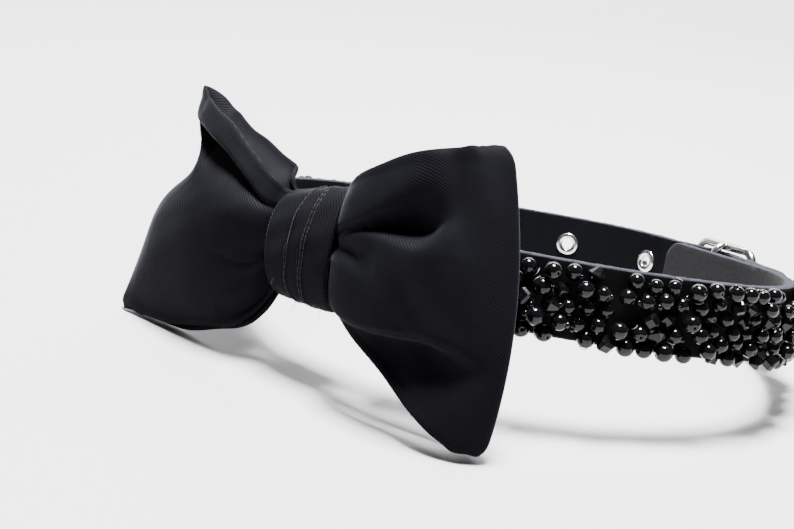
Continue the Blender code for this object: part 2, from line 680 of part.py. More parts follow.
def rest_frame(supports):
    """The lean that puts the lowest point of each of three groups of points on the floor.

    Each group comes with how far it flattens there."""
    turn = Matrix.Identity(3)
    for _ in range(12):
        feet = []
        for points, press in supports:
            lowest = min(points, key=lambda point: (turn @ Vector(point)).z)
            feet.append(Vector(lowest) + turn.transposed() @ Vector((0, 0, press)))
        left, right, rear = feet
        upward = (right - left).cross(rear - left).normalized()
        across = (Vector((1, 0, 0)) - upward * upward.x).normalized()
        turn = Matrix((across, upward.cross(across), upward))
    return Matrix.Translation((0, 0, -(turn @ left).z)) @ turn.to_4x4()


def centred(frame, pieces):
    """The same lean with the middle of the whole's footprint over the origin."""
    points = [frame @ vertex.co for piece in pieces for vertex in piece.data.vertices]
    middle = [(min(p[axis] for p in points) + max(p[axis] for p in points)) / 2 for axis in (0, 1)]
    return Matrix.Translation((-middle[0], -middle[1], 0)) @ frame


def flatten(made, frame):
    """Presses what reaches below the floor flat on it."""
    back = frame.inverted()
    for vertex in made.data.vertices:
        placed = frame @ vertex.co
        if placed.z < 0:
            placed.z = 0
            vertex.co = back @ placed


def main():
    for old in list(bpy.data.objects):
        bpy.data.objects.remove(old)
    leather = material("leather", (0.012, 0.012, 0.013), 0.55)
    tab_leather = material("tab_leather", (0.016, 0.016, 0.017), 0.6)
    nickel = material("nickel", (0.78, 0.77, 0.75), 0.22, 1.0)
    steel = material("prong_steel", (0.72, 0.72, 0.72), 0.25, 1.0)
    eyelet_nickel = material("eyelet_nickel", (0.75, 0.74, 0.72), 0.28, 1.0)
    jet = material("jet_beads", (0.006, 0.006, 0.008), 0.08)
    twill = material("black_twill", (0.014, 0.014, 0.017), 0.5)
    knot_twill = material("knot_twill", (0.016, 0.016, 0.018), 0.55)

    places = strap_places()
    corners = [corner for along in places for corner in strap_corners(along)]
    strap = build_object("strap", corners, grid_faces(len(places), 4, False), leather)
    bow = bow_loop(twill)
    buckle = buckle_frame(nickel)
    made = [strap, bow, knot(knot_twill), *buckle]
    rear = [*strap.data.vertices, *buckle[0].data.vertices]
    frame = rest_frame((
        ([v.co for v in bow.data.vertices if v.co.x < 0], REST_PRESS),
        ([v.co for v in bow.data.vertices if v.co.x > 0], REST_PRESS),
        ([v.co for v in rear if v.co.y > 0], 0.0),
    ))
    flatten(bow, frame)
    for number, along in enumerate(eyelet_places(), 1):
        made.append(eyelet(f"eyelet_{number}", along, eyelet_nickel))
        cutter = eyelet_cutter(f"eyelet_hole_{number}", along)
        cut_or_join(strap, cutter, "DIFFERENCE")
        made.append(cutter)
    made.append(buckle_prong(steel))
    made += buckle_chape(tab_leather)
    right_end = BUCKLE_FROM_BOW - TAIL_REACH - BEADS_TO_TIP
    made += bead_field("bead_field_right", BEADS_FROM_BOW, right_end, jet)
    made += bead_field("bead_field_left", -BEADS_FROM_BOW, -BEADS_LEFT_END, jet)

    rest = bpy.data.objects.new("collar_rest", None)
    bpy.context.scene.collection.objects.link(rest)
    rest.matrix_world = centred(frame, made)
    for piece in made:
        piece.parent = rest


main()
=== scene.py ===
"""A beaded leather pet collar with a satin bow tie, on a pale studio floor.

Pieces are laid out in the collar's own frame: +X to the bow's right as seen from the front, +Y to the
back of the neck, +Z up, with the strap's middle line in the plane z = 0. A place on the collar is
(along, out, up): along the strap from the middle of the bow, positive to the right, out from the
middle of the strap's thickness, and up across its width. REST then leans that frame on the floor.
"""
import itertools
import math

import bmesh
import bpy
import numpy as np
from mathutils import Euler, Matrix, Vector


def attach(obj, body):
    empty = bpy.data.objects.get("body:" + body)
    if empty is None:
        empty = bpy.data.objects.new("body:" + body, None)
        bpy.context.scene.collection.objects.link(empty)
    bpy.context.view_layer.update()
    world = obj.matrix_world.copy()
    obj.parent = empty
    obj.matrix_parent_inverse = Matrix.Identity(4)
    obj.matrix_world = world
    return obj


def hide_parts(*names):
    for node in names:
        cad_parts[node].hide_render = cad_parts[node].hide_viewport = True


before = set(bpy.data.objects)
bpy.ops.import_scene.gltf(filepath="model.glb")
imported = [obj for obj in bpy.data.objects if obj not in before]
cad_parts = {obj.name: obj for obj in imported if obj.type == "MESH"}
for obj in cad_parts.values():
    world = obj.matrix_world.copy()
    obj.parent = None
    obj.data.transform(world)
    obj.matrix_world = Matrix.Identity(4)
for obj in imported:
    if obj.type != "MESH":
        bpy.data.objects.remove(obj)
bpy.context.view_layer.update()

# The collar's lean on the floor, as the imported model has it
REST = (Matrix.Translation((-0.0040802, 0.0023861, 0.0239845))
        @ Euler([math.radians(turn) for turn in (-8.84657, -2.59648, 0.0)]).to_matrix().to_4x4())

# Strap
LOOP_LENGTH = 0.497
STRAP_WIDTH = 0.020
STRAP_THICK = 0.0025
CLEARANCE = 0.0003
GUARD_REACH = 0.018
GUARD_CORNER = 0.006
GUARD_FACE_FROM = 0.0      # where the inner face turns lighter grey, under the knot
TAIL_REACH = 0.045
TAIL_CORNER = 0.0085
TAIL_RISE = 0.085
STRAP_ROUND = 0.00045      # radius of the strap's long edges
STRAP_STEP = 0.0011        # how far apart the sections lie
EDGE_ROUGH = (0.00007, 0.00004)   # how uneven the cut edge is, up and out

# Eyelets
EYELET_COUNT = 4
EYELET_PITCH = 0.0305
EYELET_RADIUS = 0.0040
EYELET_BORE = 0.0019
EYELET_WALL = 0.0005
EYELET_FLANGE = 0.0004
EYELETS_TO_TIP = 1
EYELET_LIP = 0.0003        # how far the flange's rim turns in under it
EYELET_LIFT = 0.00002
EYELET_SIDES = 40
HOLE_SIDES = 32

# Buckle
BUCKLE_FROM_BOW = 0.2178
BUCKLE_LENGTH = 0.033
BUCKLE_BEND = 0.060
BUCKLE_CORNER = 0.005
BUCKLE_SIDE_GAP = 0.0006
FRAME_WIRE = 0.0014
BAR_WIRE = 0.0012
BAR_DROP = 0.0046
PRONG_WIRE = 0.00085
PRONG_BEND = 0.0022
CHAPE_THICK = 0.0010
CHAPE_WIDTH = 0.016
CHAPE_LENGTH = 0.019
CHAPE_PRESSED = 0.94       # share of its thickness that the stitched tab keeps
SLOT_SIDE_GAP = 0.0005
STITCH_WIRE = 0.00016
STITCH_LINES = (0.86, 0.42)       # shares of the tab's length
STITCH_HEIGHTS = (-0.0003, 0.00008, 0.00014, 0.00015, 0.00014, 0.00008, -0.0003)

# Beads
BEADS_FROM_BOW = 0.021
BEADS_LEFT_END = 0.176
BEADS_TO_TIP = 0.003
BEAD_SPACING = 2.14        # in radii, along a row
BEAD_JITTER = (0.0007, 0.0006)    # along and across
BEAD_PUSHES = 30
BEAD_PILE = 0.0030         # how high a bead may lie on the others
ROUND_SHARE = 0.74
CUT_SHARE = 0.16
SMALL_SHARE = 0.30
THREAD_SHARE = 0.22
CLEAR_WIRE = 0.00011
# Stretches of a field: from the field's start, rows, radius, middle of the top and of the bottom row
BEAD_STRETCHES = (
    (0.000, 5, 0.00243, 0.0066, -0.0084),
    (0.045, 5, 0.00232, 0.0072, -0.0088),
    (0.080, 6, 0.00208, 0.0078, -0.0088),
)

# Bow
BOW_TURN = -3.0
BOW_LENGTH = 0.0555
BOW_HEIGHT = 0.037
BOW_DEPTH = 0.023
BOW_CLOTH = 0.0011
WAIST_REACH = {1: 0.0098, -1: 0.0120}   # from the bow's middle to where each wing starts
WAIST_ROUND = 0.92
WING_SPINE_RADIUS = 0.600
CORNER_CUT = {1: (0.0022, 0.0016), -1: (-0.0012, 0.0036)}   # top and bottom corner of each wing
FOLD_SHARE = 0.30
BOW_COLUMNS = 84           # on each panel of a wing
BOW_ROWS = 88
BOW_SOFT = 0.0014          # the height over the floor under which the cloth gives way
HEM_REACH = 0.0022         # how far in from its hem the cloth is thicker

# Knot
KNOT_LEFT = 0.0111
KNOT_RIGHT = 0.0093
KNOT_CLOTH = 0.0013
KNOT_HEIGHT = 0.0150
KNOT_MIDDLE = 0.0036
WAIST_CLOTH = 0.0012       # the cloth under the knot
KNOT_STEPS = 220
KNOT_COLUMNS = 74
# Seam ridges: place across the strip, height and half width
KNOT_SEAMS = ((-0.0024, 0.00034, 0.00040), (0.0018, 0.00026, 0.00030), (0.0027, 0.00030, 0.00030))
SEAM_WANDER = 0.0005
SEAM_WIRE = 0.000050
SEAM_STITCHES = range(-96, 97, 8)   # degrees round the strip where the stitches start
SEAM_STITCH = 6.4
# Thread ends under the knot: degrees round it, place across the strip and length
LOOSE_THREADS = ((-78, 0.0055, 0.0040), (-72, -0.0030, 0.0036), (-38, -0.0072, 0.0026))

# Reach of the loop round the neck: degrees round from its front to the right, share of the mean
LOOP_FORM = (
    (0, 0.915), (30, 0.895), (60, 1.000), (90, 1.115), (120, 1.055), (150, 1.020),
    (180, 1.040), (210, 0.985), (240, 0.970), (270, 1.015), (300, 0.980), (330, 0.920),
)

# Sections of each wing. Columns: share of the wing's length, the front panel's top and bottom and the
# back panel's top and bottom as shares of BOW_HEIGHT, back and front panel as shares of BOW_DEPTH.
RIGHT_SECTIONS = (
    (0.00, 0.345, 0.330, 0.345, 0.330, 0.100, 0.455),
    (0.02, 0.440, 0.345, 0.430, 0.340, 0.140, 0.560),
    (0.05, 0.490, 0.375, 0.490, 0.370, 0.190, 0.670),
    (0.14, 0.585, 0.440, 0.600, 0.430, 0.290, 0.800),
    (0.30, 0.690, 0.550, 0.710, 0.540, 0.370, 0.890),
    (0.50, 0.795, 0.690, 0.812, 0.700, 0.410, 0.970),
    (0.72, 0.885, 0.855, 0.895, 0.870, 0.440, 0.980),
    (0.90, 0.928, 0.985, 0.934, 0.990, 0.470, 0.920),
    (1.00, 0.940, 1.010, 0.940, 1.010, 0.480, 0.860),
)
LEFT_SECTIONS = (
    (0.00, 0.345, 0.330, 0.345, 0.330, 0.100, 0.455),
    (0.02, 0.375, 0.440, 0.400, 0.450, 0.140, 0.530),
    (0.05, 0.415, 0.550, 0.450, 0.560, 0.190, 0.620),
    (0.14, 0.500, 0.680, 0.530, 0.690, 0.290, 0.740),
    (0.30, 0.605, 0.760, 0.595, 0.780, 0.370, 0.870),
    (0.50, 0.745, 0.825, 0.670, 0.870, 0.410, 0.940),
    (0.72, 0.830, 0.870, 0.740, 0.910, 0.430, 0.940),
    (0.90, 0.900, 0.885, 0.850, 0.900, 0.450, 0.880),
    (1.00, 0.975, 0.875, 0.975, 0.875, 0.460, 0.820),
)
# Lean of each outer fold: length of its top and bottom and its bulge, as shares of BOW_LENGTH, and how
# far its top and bottom stand back, as shares of BOW_DEPTH.
WING_LEAN = {
    1: (0.97, 1.11, 0.08, 0.10, -0.05),
    -1: (1.07, 1.22, -0.05, 0.10, -0.48),
}
# How much each panel closes towards the other at its top and bottom hem, front and back
HEM_CLOSE = {
    1: ((0.60, 0.30), (0.05, 0.20)),
    -1: ((1.15, 1.00), (0.00, 0.45)),
}
# The left wing's back panel comes near the front hem at this height and rolls back above it: height,
# half height, how near, how far back
BACK_ROLL = (0.74, 0.20, 0.50, 1.00)
NOTCH = (0.36, 0.30, 0.25, 0.25)   # height, half height above and below, depth

PRESS_MOST = 0.70          # share of a wing's depth that folds may press in
HEM_FREE = 0.16            # the left wing's folds fade out this near its top hem

# Folds pressed into the front panels. Rows of a fold: share of the wing's length, height share, depth,
# and half width above and below it, in millimetres. Rows of a band, which runs up and down the right
# wing: height share, share of the wing's length, depth, and half width towards the outer fold and the knot.
RIGHT_FOLDS = (
    ((-0.05, 0.31, 1.2, 0.9, 0.9), (0.09, 0.31, 2.6, 1.0, 1.0), (0.24, 0.345, 4.6, 1.5, 1.1),
     (0.33, 0.350, 6.4, 3.0, 1.2), (0.42, 0.340, 8.0, 5.0, 1.4), (0.50, 0.345, 8.4, 7.0, 1.8),
     (0.58, 0.380, 6.4, 8.4, 2.4), (0.65, 0.450, 3.6, 8.4, 3.0), (0.71, 0.520, 1.6, 7.5, 3.4),
     (0.80, 0.580, 0.0, 6.0, 3.6)),
    ((-0.05, 0.05, 2.0, 3.0, 1.4), (0.06, 0.05, 2.8, 3.4, 1.6), (0.15, 0.03, 2.6, 3.8, 2.2),
     (0.24, 0.00, 1.4, 4.2, 3.0), (0.36, -0.03, 0.0, 4.4, 3.6)),
    ((0.00, -1.02, 1.5, 1.2, 6.0), (0.08, -0.98, 3.0, 1.2, 7.0), (0.23, -0.87, 4.6, 1.3, 9.0),
     (0.45, -0.67, 6.8, 1.5, 10.5), (0.62, -0.53, 6.4, 1.7, 10.5), (0.73, -0.49, 4.6, 2.0, 9.5),
     (0.84, -0.47, 2.2, 2.5, 8.0), (0.97, -0.46, 0.0, 3.0, 7.0)),
)
RIGHT_BANDS = (
    ((0.30, 0.50, 0.0, 3.5, 7.0), (0.12, 0.50, -1.1, 3.5, 8.0), (-0.10, 0.51, -1.4, 3.8, 9.0),
     (-0.30, 0.53, -1.0, 4.0, 9.0), (-0.45, 0.55, 0.0, 4.0, 9.0)),
    ((1.05, 0.73, 1.2, 5.0, 5.0), (0.80, 0.74, 1.5, 5.0, 5.0), (0.55, 0.76, 1.1, 5.0, 5.0),
     (0.25, 0.80, 0.0, 5.0, 5.0)),
)
LEFT_FOLDS = (
    ((-0.05, 0.60, 0.8, 0.9, 1.0), (0.06, 0.62, 1.6, 1.0, 1.3), (0.17, 0.69, 3.2, 1.1, 3.0),
     (0.33, 0.73, 5.0, 1.2, 6.5), (0.48, 0.73, 6.6, 1.3, 9.0), (0.64, 0.73, 7.6, 1.5, 9.5),
     (0.80, 0.74, 8.2, 1.6, 9.0), (1.05, 0.72, 8.4, 1.8, 8.5)),
    ((-0.05, -0.30, 0.9, 1.0, 2.6), (0.02, -0.30, 0.9, 1.0, 2.6), (0.13, -0.24, 0.7, 1.4, 3.0),
     (0.30, -0.17, 0.3, 1.8, 3.4), (0.42, -0.10, 0.0, 2.0, 3.4)),
    ((-0.05, -0.84, 3.0, 1.6, 2.4), (0.05, -0.84, 3.4, 2.0, 2.6), (0.12, -0.84, 2.2, 2.6, 3.0),
     (0.24, -0.88, 0.0, 3.0, 3.0)),
)
# Pleats of both back panels, which fan out of the knot
BACK_FOLDS = (
    ((-0.05, 0.42, 1.0, 2.2, 1.4), (0.10, 0.44, 2.4, 3.0, 1.8), (0.32, 0.47, 2.2, 4.5, 2.6),
     (0.62, 0.50, 0.0, 6.0, 4.0)),
    ((-0.05, -0.02, 0.8, 1.8, 1.4), (0.12, -0.04, 1.6, 2.4, 1.8), (0.36, -0.08, 0.0, 4.0, 3.0)),
    ((-0.05, -0.46, 1.2, 1.4, 2.4), (0.12, -0.48, 2.8, 1.8, 3.4), (0.38, -0.50, 2.6, 2.6, 5.5),
     (0.74, -0.52, 0.0, 4.0, 7.0)),
)

# Camera, fitted to the photograph: place, yaw, pitch and roll in degrees, and lens in millimetres
CAMERA_PLACE = (0.2205, -0.3158, 0.1281)
CAMERA_TURNS = (-39.74, 15.90, 5.95)
CAMERA_LENS = 58.94


def lerp(low, high, share):
    return low + (high - low) * share


def ease(share):
    share = np.clip(share, 0.0, 1.0)
    return share * share * (3.0 - 2.0 * share)


def unit(ways):
    return ways / np.linalg.norm(ways, axis=-1, keepdims=True)


def run_of(steps):
    """The distance up to each place, from the steps between them."""
    return np.concatenate(([0.0], np.cumsum(steps)))


def run_round(ring):
    """The distance up to each point of a closed ring, and back to its first."""
    return run_of(np.linalg.norm(np.roll(ring, -1, axis=0) - ring, axis=1))


def smooth_rows(rows, at):
    """Reads rows of a first column and values as one smooth curve, at an array of places."""
    table = np.array(rows, float)
    places, values = table[:, 0], table[:, 1:]
    last = len(places) - 1
    before = np.maximum(np.arange(last + 1) - 1, 0)
    after = np.minimum(np.arange(last + 1) + 1, last)
    slopes = (values[after] - values[before]) / (places[after] - places[before])[:, None]
    at = np.asarray(at, float)
    k = np.clip(np.searchsorted(places, at) - 1, 0, last - 1)
    span = places[k + 1] - places[k]
    x = np.clip((at - places[k]) / span, 0.0, 1.0)[..., None]
    span = span[..., None]
    return ((2 * x**3 - 3 * x**2 + 1) * values[k] + (x**3 - 2 * x**2 + x) * span * slopes[k]
            + (3 * x**2 - 2 * x**3) * values[k + 1] + (x**3 - x**2) * span * slopes[k + 1])


def eased_rows(rows, at):
    """Reads (place, value) rows with a soft step between each two, at an array of places."""
    places, values = np.array(rows, float).T
    at = np.asarray(at, float)
    k = np.clip(np.searchsorted(places, at) - 1, 0, len(places) - 2)
    return lerp(values[k], values[k + 1], ease((at - places[k]) / (places[k + 1] - places[k])))


class Loop:
    """The closed middle line of the strap, read by the distance along it."""

    STEPS = 1440

    def __init__(self):
        rows = LOOP_FORM[-2:] + LOOP_FORM + LOOP_FORM[:3]
        rounds = [-360, -360] + [0] * len(LOOP_FORM) + [360, 360, 360]
        rows = [(row[0] + turn, row[1]) for row, turn in zip(rows, rounds)]
        degrees = BOW_TURN + np.arange(self.STEPS) * 360.0 / self.STEPS
        reach = smooth_rows(rows, degrees)
        turns = np.radians(degrees)
        self.points = np.column_stack((np.sin(turns), -np.cos(turns))) * reach
        self.measure()
        self.straighten(BUCKLE_FROM_BOW, GUARD_REACH, BUCKLE_BEND)
        self.measure()

    def measure(self):
        ring = np.vstack((self.points, self.points[:1]))
        steps = np.hypot(*np.diff(ring, axis=0).T)
        scale = LOOP_LENGTH / steps.sum()
        self.points = self.points * scale
        self.places = run_of(steps * scale)
        ahead = np.roll(self.points, -3, axis=0) - np.roll(self.points, 3, axis=0)
        self.ahead = ahead / np.hypot(*ahead.T)[:, None]

    def straighten(self, middle, half, reach):
        """Lays the stretch that carries the buckle straight and bends both sides of it more."""
        steps = np.diff(np.vstack((self.points, self.points[:1])), axis=0)
        sizes = np.hypot(*steps.T)
        turn = np.unwrap(np.arctan2(steps[:, 1], steps[:, 0]))
        away = self.places[:-1] + sizes / 2 - middle
        turn_there = np.interp(0.0, away, turn)
        for side in (-1, 1):
            edge = np.interp([side * reach * 0.99, side * reach], away, turn)
            rate = (edge[1] - edge[0]) / (0.01 * reach)
            bent = (away * side > 0) & (away * side < reach)
            share = np.clip((away[bent] * side - half) / (reach - half), 0.0, 1.0)
            turn[bent] = turn_there + (edge[1] - turn_there) * share ** 2 * (3 - 2 * share)
            turn[bent] -= rate * (reach - half) * share ** 2 * (1 - share)
        steps = np.column_stack((np.cos(turn), np.sin(turn))) * sizes[:, None]
        steps -= steps.sum(axis=0) * sizes[:, None] / sizes.sum()
        self.points = self.points[0] + np.vstack((np.zeros((1, 2)), np.cumsum(steps[:-1], axis=0)))

    def frame(self, along):
        """Points, ways ahead and ways out, for an array of distances along the loop."""
        along = np.asarray(along, float) % LOOP_LENGTH
        read = [np.interp(along, self.places, np.append(column, column[0]))
                for column in (*self.points.T, *self.ahead.T)]
        point, ahead = np.stack(read[:2], -1), unit(np.stack(read[2:], -1))
        return point, ahead, np.stack((ahead[..., 1], -ahead[..., 0]), -1)

    def place(self, along, out, up):
        """Points of the collar in its own frame, for arrays of places."""
        along, out, up = np.broadcast_arrays(*(np.asarray(v, float) for v in (along, out, up)))
        point, _, outward = self.frame(along)
        return np.concatenate((point + outward * out[..., None], up[..., None]), axis=-1)

    def matrix(self, along, out, up):
        """A local frame whose X runs along the strap, Y across it upwards and Z outwards."""
        _, ahead, outward = self.frame(along)
        turn = Matrix(((ahead[0], 0.0, outward[0]), (ahead[1], 0.0, outward[1]), (0.0, 1.0, 0.0)))
        return Matrix.Translation(self.place(along, out, up)) @ turn.to_4x4()


LOOP = Loop()

# Heights above the strap's middle where the buckle's layers lie
STRAP_FACE = STRAP_THICK / 2
EYELET_FACE = STRAP_FACE + CLEARANCE + EYELET_FLANGE
TAIL_LAYER = EYELET_FACE + CLEARANCE + STRAP_FACE
BAR_OUT = STRAP_FACE + 2 * CLEARANCE + 2 * PRONG_WIRE + BAR_WIRE
CHAPE_EYE = BAR_WIRE + CLEARANCE
CHAPE_OUTER = CHAPE_EYE + CHAPE_THICK
RAIL_OUT = BAR_OUT + BAR_DROP
TAIL_OVER_BAR = BAR_OUT + CHAPE_OUTER + CLEARANCE + EYELET_FACE
TAIL_UNDER_RAIL = RAIL_OUT - FRAME_WIRE - CLEARANCE - STRAP_FACE
PRONG_LOOP = BAR_WIRE + CLEARANCE + PRONG_WIRE
RAIL_APART = BUCKLE_LENGTH / 2 - FRAME_WIRE
SIDE_APART = STRAP_WIDTH / 2 + BUCKLE_SIDE_GAP + FRAME_WIRE
INNER_END = BUCKLE_FROM_BOW + GUARD_REACH
TAIL_TIP = BUCKLE_FROM_BOW - LOOP_LENGTH - TAIL_REACH


def tail_out(along):
    """How far out the strap's middle lies: on the neck, then outside its own inner end."""
    flat = EYELET_RADIUS + CLEARANCE
    guard = GUARD_REACH + EYELET_RADIUS
    rows = (
        (-TAIL_REACH, TAIL_LAYER), (-RAIL_APART - EYELET_PITCH / 2, TAIL_LAYER),
        (-RAIL_APART, TAIL_UNDER_RAIL), (PRONG_LOOP - flat, TAIL_OVER_BAR),
        (PRONG_LOOP + flat, TAIL_OVER_BAR), (RAIL_APART, TAIL_UNDER_RAIL),
        (guard, TAIL_LAYER), (guard + TAIL_RISE, 0.0),
    )
    return eased_rows(rows, np.asarray(along) + LOOP_LENGTH - BUCKLE_FROM_BOW)


def tail_lean(along):
    step = STRAP_THICK / 6
    return np.arctan((tail_out(along + step) - tail_out(along - step)) / (2 * step))


def strap_place(along, out, up):
    """Points of the strap's own thickness, whose sections stand square to its middle."""
    lean = tail_lean(along)
    return LOOP.place(along - out * np.sin(lean), tail_out(along) + out * np.cos(lean), up)


def strap_frame(along):
    lean = Matrix.Rotation(-float(tail_lean(along)), 4, "Y")
    return LOOP.matrix(along, float(tail_out(along)), 0.0) @ lean


# Materials

class Finish:
    """A material with its nodes, built up step by step."""

    def __init__(self, name, colour, roughness, metallic=0.0, **settings):
        self.material = bpy.data.materials.new(name)
        self.material.use_nodes = True
        self.nodes = self.material.node_tree.nodes
        self.shader = self.nodes["Principled BSDF"]
        self.material.diffuse_color = (*colour, 1.0)
        self.set("Base Color", (*colour, 1.0))
        self.set("Roughness", roughness)
        self.set("Metallic", metallic)
        for socket, value in settings.items():
            self.set(socket.replace("_", " "), value)

    def set(self, socket, value):
        self.shader.inputs[socket].default_value = value

    def link(self, source, target):
        self.material.node_tree.links.new(source, target)

    def node(self, kind, inputs=None, **settings):
        made = self.nodes.new("ShaderNode" + kind)
        for key, value in settings.items():
            setattr(made, key, value)
        for key, value in (inputs or {}).items():
            if isinstance(value, bpy.types.NodeSocket):
                self.link(value, made.inputs[key])
            else:
                made.inputs[key].default_value = value
        return made

    def math(self, operation, first, second=0.0):
        return self.node("Math", {0: first, 1: second}, operation=operation).outputs[0]

    def mix(self, first, share, second):
        """One socket's value by a share, and another's by the rest."""
        return self.math("ADD", self.math("MULTIPLY", first, share),
                         self.math("MULTIPLY", second, 1.0 - share))

    def place(self):
        return self.node("TexCoord").outputs["Object"]

    def uv(self):
        return self.node("UVMap", uv_map="cloth").outputs["UV"]

    def noise(self, where, scale, detail=3.0, roughness=0.55):
        return self.node("TexNoise", {"Vector": where, "Scale": scale, "Detail": detail,
                                      "Roughness": roughness}).outputs["Fac"]

    def ramp(self, factor, *stops):
        made = self.node("ValToRGB", {"Fac": factor})
        band = made.color_ramp
        while len(band.elements) < len(stops):
            band.elements.new(0.5)
        for element, (place, colour) in zip(band.elements, stops):
            element.position = place
            element.color = (*colour, 1.0)
        return made.outputs["Color"]

    def colour(self, socket):
        self.link(socket, self.shader.inputs["Base Color"])

    def rough(self, factor, low, high):
        spread = self.node("MapRange", {"Value": factor, "To Min": low, "To Max": high})
        self.link(spread.outputs["Result"], self.shader.inputs["Roughness"])

    def bump(self, *layers):
        """Layers of (height socket, distance in metres, strength)."""
        normal = None
        for height, distance, strength in layers:
            made = self.node("Bump", {"Height": height, "Distance": distance, "Strength": strength})
            if normal is not None:
                self.link(normal, made.inputs["Normal"])
            normal = made.outputs["Normal"]
        self.link(normal, self.shader.inputs["Normal"])


def twill(name, colour, pitch, slant, relief):
    """Satin twill: slanting ribs over the cloth's own coordinates, with uneven yarns."""
    made = Finish(name, colour, 0.5, Sheen_Weight=0.05, Sheen_Roughness=0.30,
                  Specular_IOR_Level=0.010)
    made.set("Sheen Tint", (0.62, 0.68, 0.80, 1.0))
    uv = made.uv()
    split = made.node("SeparateXYZ", {"Vector": uv})
    across = math.tau * math.cos(slant) / pitch, math.tau * math.sin(slant) / pitch
    wander = made.math("MULTIPLY", made.noise(uv, 260.0, 2.0), 5.0)
    phase = made.math("ADD", made.math("MULTIPLY", split.outputs["X"], across[0]),
                      made.math("MULTIPLY", split.outputs["Y"], across[1]))
    rib = made.math("SINE", made.math("ADD", phase, wander))
    rib = made.math("MULTIPLY", made.math("ADD", rib, 1.0), 0.5)
    yarn = made.noise(uv, 5200.0, 2.0, 0.6)
    patch = made.noise(uv, 90.0, 4.0)
    dark = tuple(0.58 * value for value in colour)
    light = tuple(1.60 * value for value in colour)
    made.colour(made.ramp(made.mix(rib, 0.55, patch), (0.15, dark), (0.85, light)))
    made.rough(made.mix(rib, 0.5, yarn), 0.60, 0.44)
    made.bump((patch, 0.0006, 0.25), (rib, relief, 0.6), (yarn, relief * 0.6, 0.35))
    return made.material


def leather(name, colour, roughness, grain, relief, spread=0.35):
    """Grained leather with pores, darker hollows and uneven shine."""
    made = Finish(name, colour, roughness, Specular_IOR_Level=0.03)
    where = made.place()
    cells = made.node("TexVoronoi", {"Vector": where, "Scale": grain}, feature="SMOOTH_F1")
    fine = made.noise(where, grain * 2.6, 4.0)
    broad = made.noise(where, 70.0, 4.0)
    low = tuple(value * (1 - spread) for value in colour)
    high = tuple(value * (1 + spread) for value in colour)
    made.colour(made.ramp(made.mix(broad, 0.7, fine), (0.30, low), (0.70, high)))
    made.rough(fine, roughness - 0.10, roughness + 0.12)
    made.bump((cells.outputs["Distance"], relief, 0.5), (fine, relief * 0.5, 0.5))
    return made.material


def suede(name, colour, relief):
    """The cut or flesh side of leather: matt, fibrous and uneven."""
    made = Finish(name, colour, 0.92, Specular_IOR_Level=0.04, Sheen_Weight=0.03, Sheen_Roughness=0.5)
    where = made.place()
    fibres = made.noise(where, 3400.0, 4.0, 0.7)
    tufts = made.noise(where, 900.0, 3.0, 0.6)
    low = tuple(value * 0.45 for value in colour)
    high = tuple(min(1.0, value * 1.7) for value in colour)
    made.colour(made.ramp(made.mix(fibres, 0.6, tufts), (0.32, low), (0.68, high)))
    made.bump((tufts, relief, 0.7), (fibres, relief * 0.6, 0.8))
    return made.material


def metal(name, colour, roughness, scratch=0.25):
    """Plated metal with faint scratches and finger-dull patches."""
    made = Finish(name, colour, roughness, 1.0)
    where = made.place()
    stretch = made.node("Mapping", {"Vector": where, "Scale": (1.0, 1.0, 9.0)}).outputs["Vector"]
    lines = made.noise(stretch, 1500.0, 3.0, 0.6)
    dull = made.noise(where, 160.0, 4.0)
    low = tuple(value * 0.82 for value in colour)
    made.colour(made.ramp(dull, (0.35, low), (0.65, colour)))
    made.rough(dull, roughness * 0.7, roughness * 1.5)
    made.bump((lines, 0.00002, scratch), (dull, 0.0001, 0.2))
    return made.material


def jet(name, roughness):
    """Polished jet-black beads with dust and faint moulding marks."""
    made = Finish(name, (0.0015, 0.0016, 0.0019), roughness, Specular_IOR_Level=0.24)
    where = made.place()
    dust = made.noise(where, 1300.0, 5.0, 0.65)
    made.colour(made.ramp(dust, (0.50, (0.0012, 0.0013, 0.0016)), (0.80, (0.0050, 0.0050, 0.0055))))
    made.rough(dust, roughness * 0.6, roughness * 2.2)
    made.bump((made.noise(where, 420.0, 2.0), 0.00004, 0.25))
    return made.material


# Meshes

def moved(points, matrix):
    turn = np.array(matrix)
    return points @ turn[:3, :3].T + turn[:3, 3]


def new_mesh(name, points, faces, smooth=True):
    mesh = bpy.data.meshes.new(name)
    mesh.from_pydata(points, [], [list(map(int, face)) for face in faces])
    set_smooth(mesh, smooth)
    return mesh


def set_smooth(mesh, smooth=True):
    mesh.polygons.foreach_set("use_smooth", [smooth] * len(mesh.polygons))


def put(name, data):
    """A new object in the scene."""
    made = bpy.data.objects.new(name, data)
    bpy.context.scene.collection.objects.link(made)
    return made


def piece(name, points, faces, materials, uv=None, smooth=True, which=None, slot=None, body="root",
          soft=0.0):
    """A new object with its points given in the collar's frame, riding on a body. A soft one gives way
    where it comes nearer to the floor than this height."""
    placed = moved(np.asarray(points, float).reshape(-1, 3), REST)
    if soft:
        height = placed[:, 2]
        given = soft * np.exp(np.minimum(height - soft, 0.0) / soft)
        placed[:, 2] = np.where(height < soft, given, height)
    mesh = new_mesh(name, placed.tolist(), faces, smooth)
    for material in materials:
        mesh.materials.append(material)
    if which is not None:
        mesh.polygons.foreach_set("material_index", np.asarray(which, np.int32))
    if uv is not None:
        layer = mesh.uv_layers.new(name="cloth")
        layer.data.foreach_set("uv", np.asarray(uv, np.float32).ravel())
    mesh.validate()
    made = put(name, mesh)
    face_out(made)
    if body:
        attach(made, body)
    return made


def face_out(made):
    bm = bmesh.new()
    bm.from_mesh(made.data)
    bmesh.ops.recalc_face_normals(bm, faces=bm.faces)
    bm.to_mesh(made.data)
    bm.free()


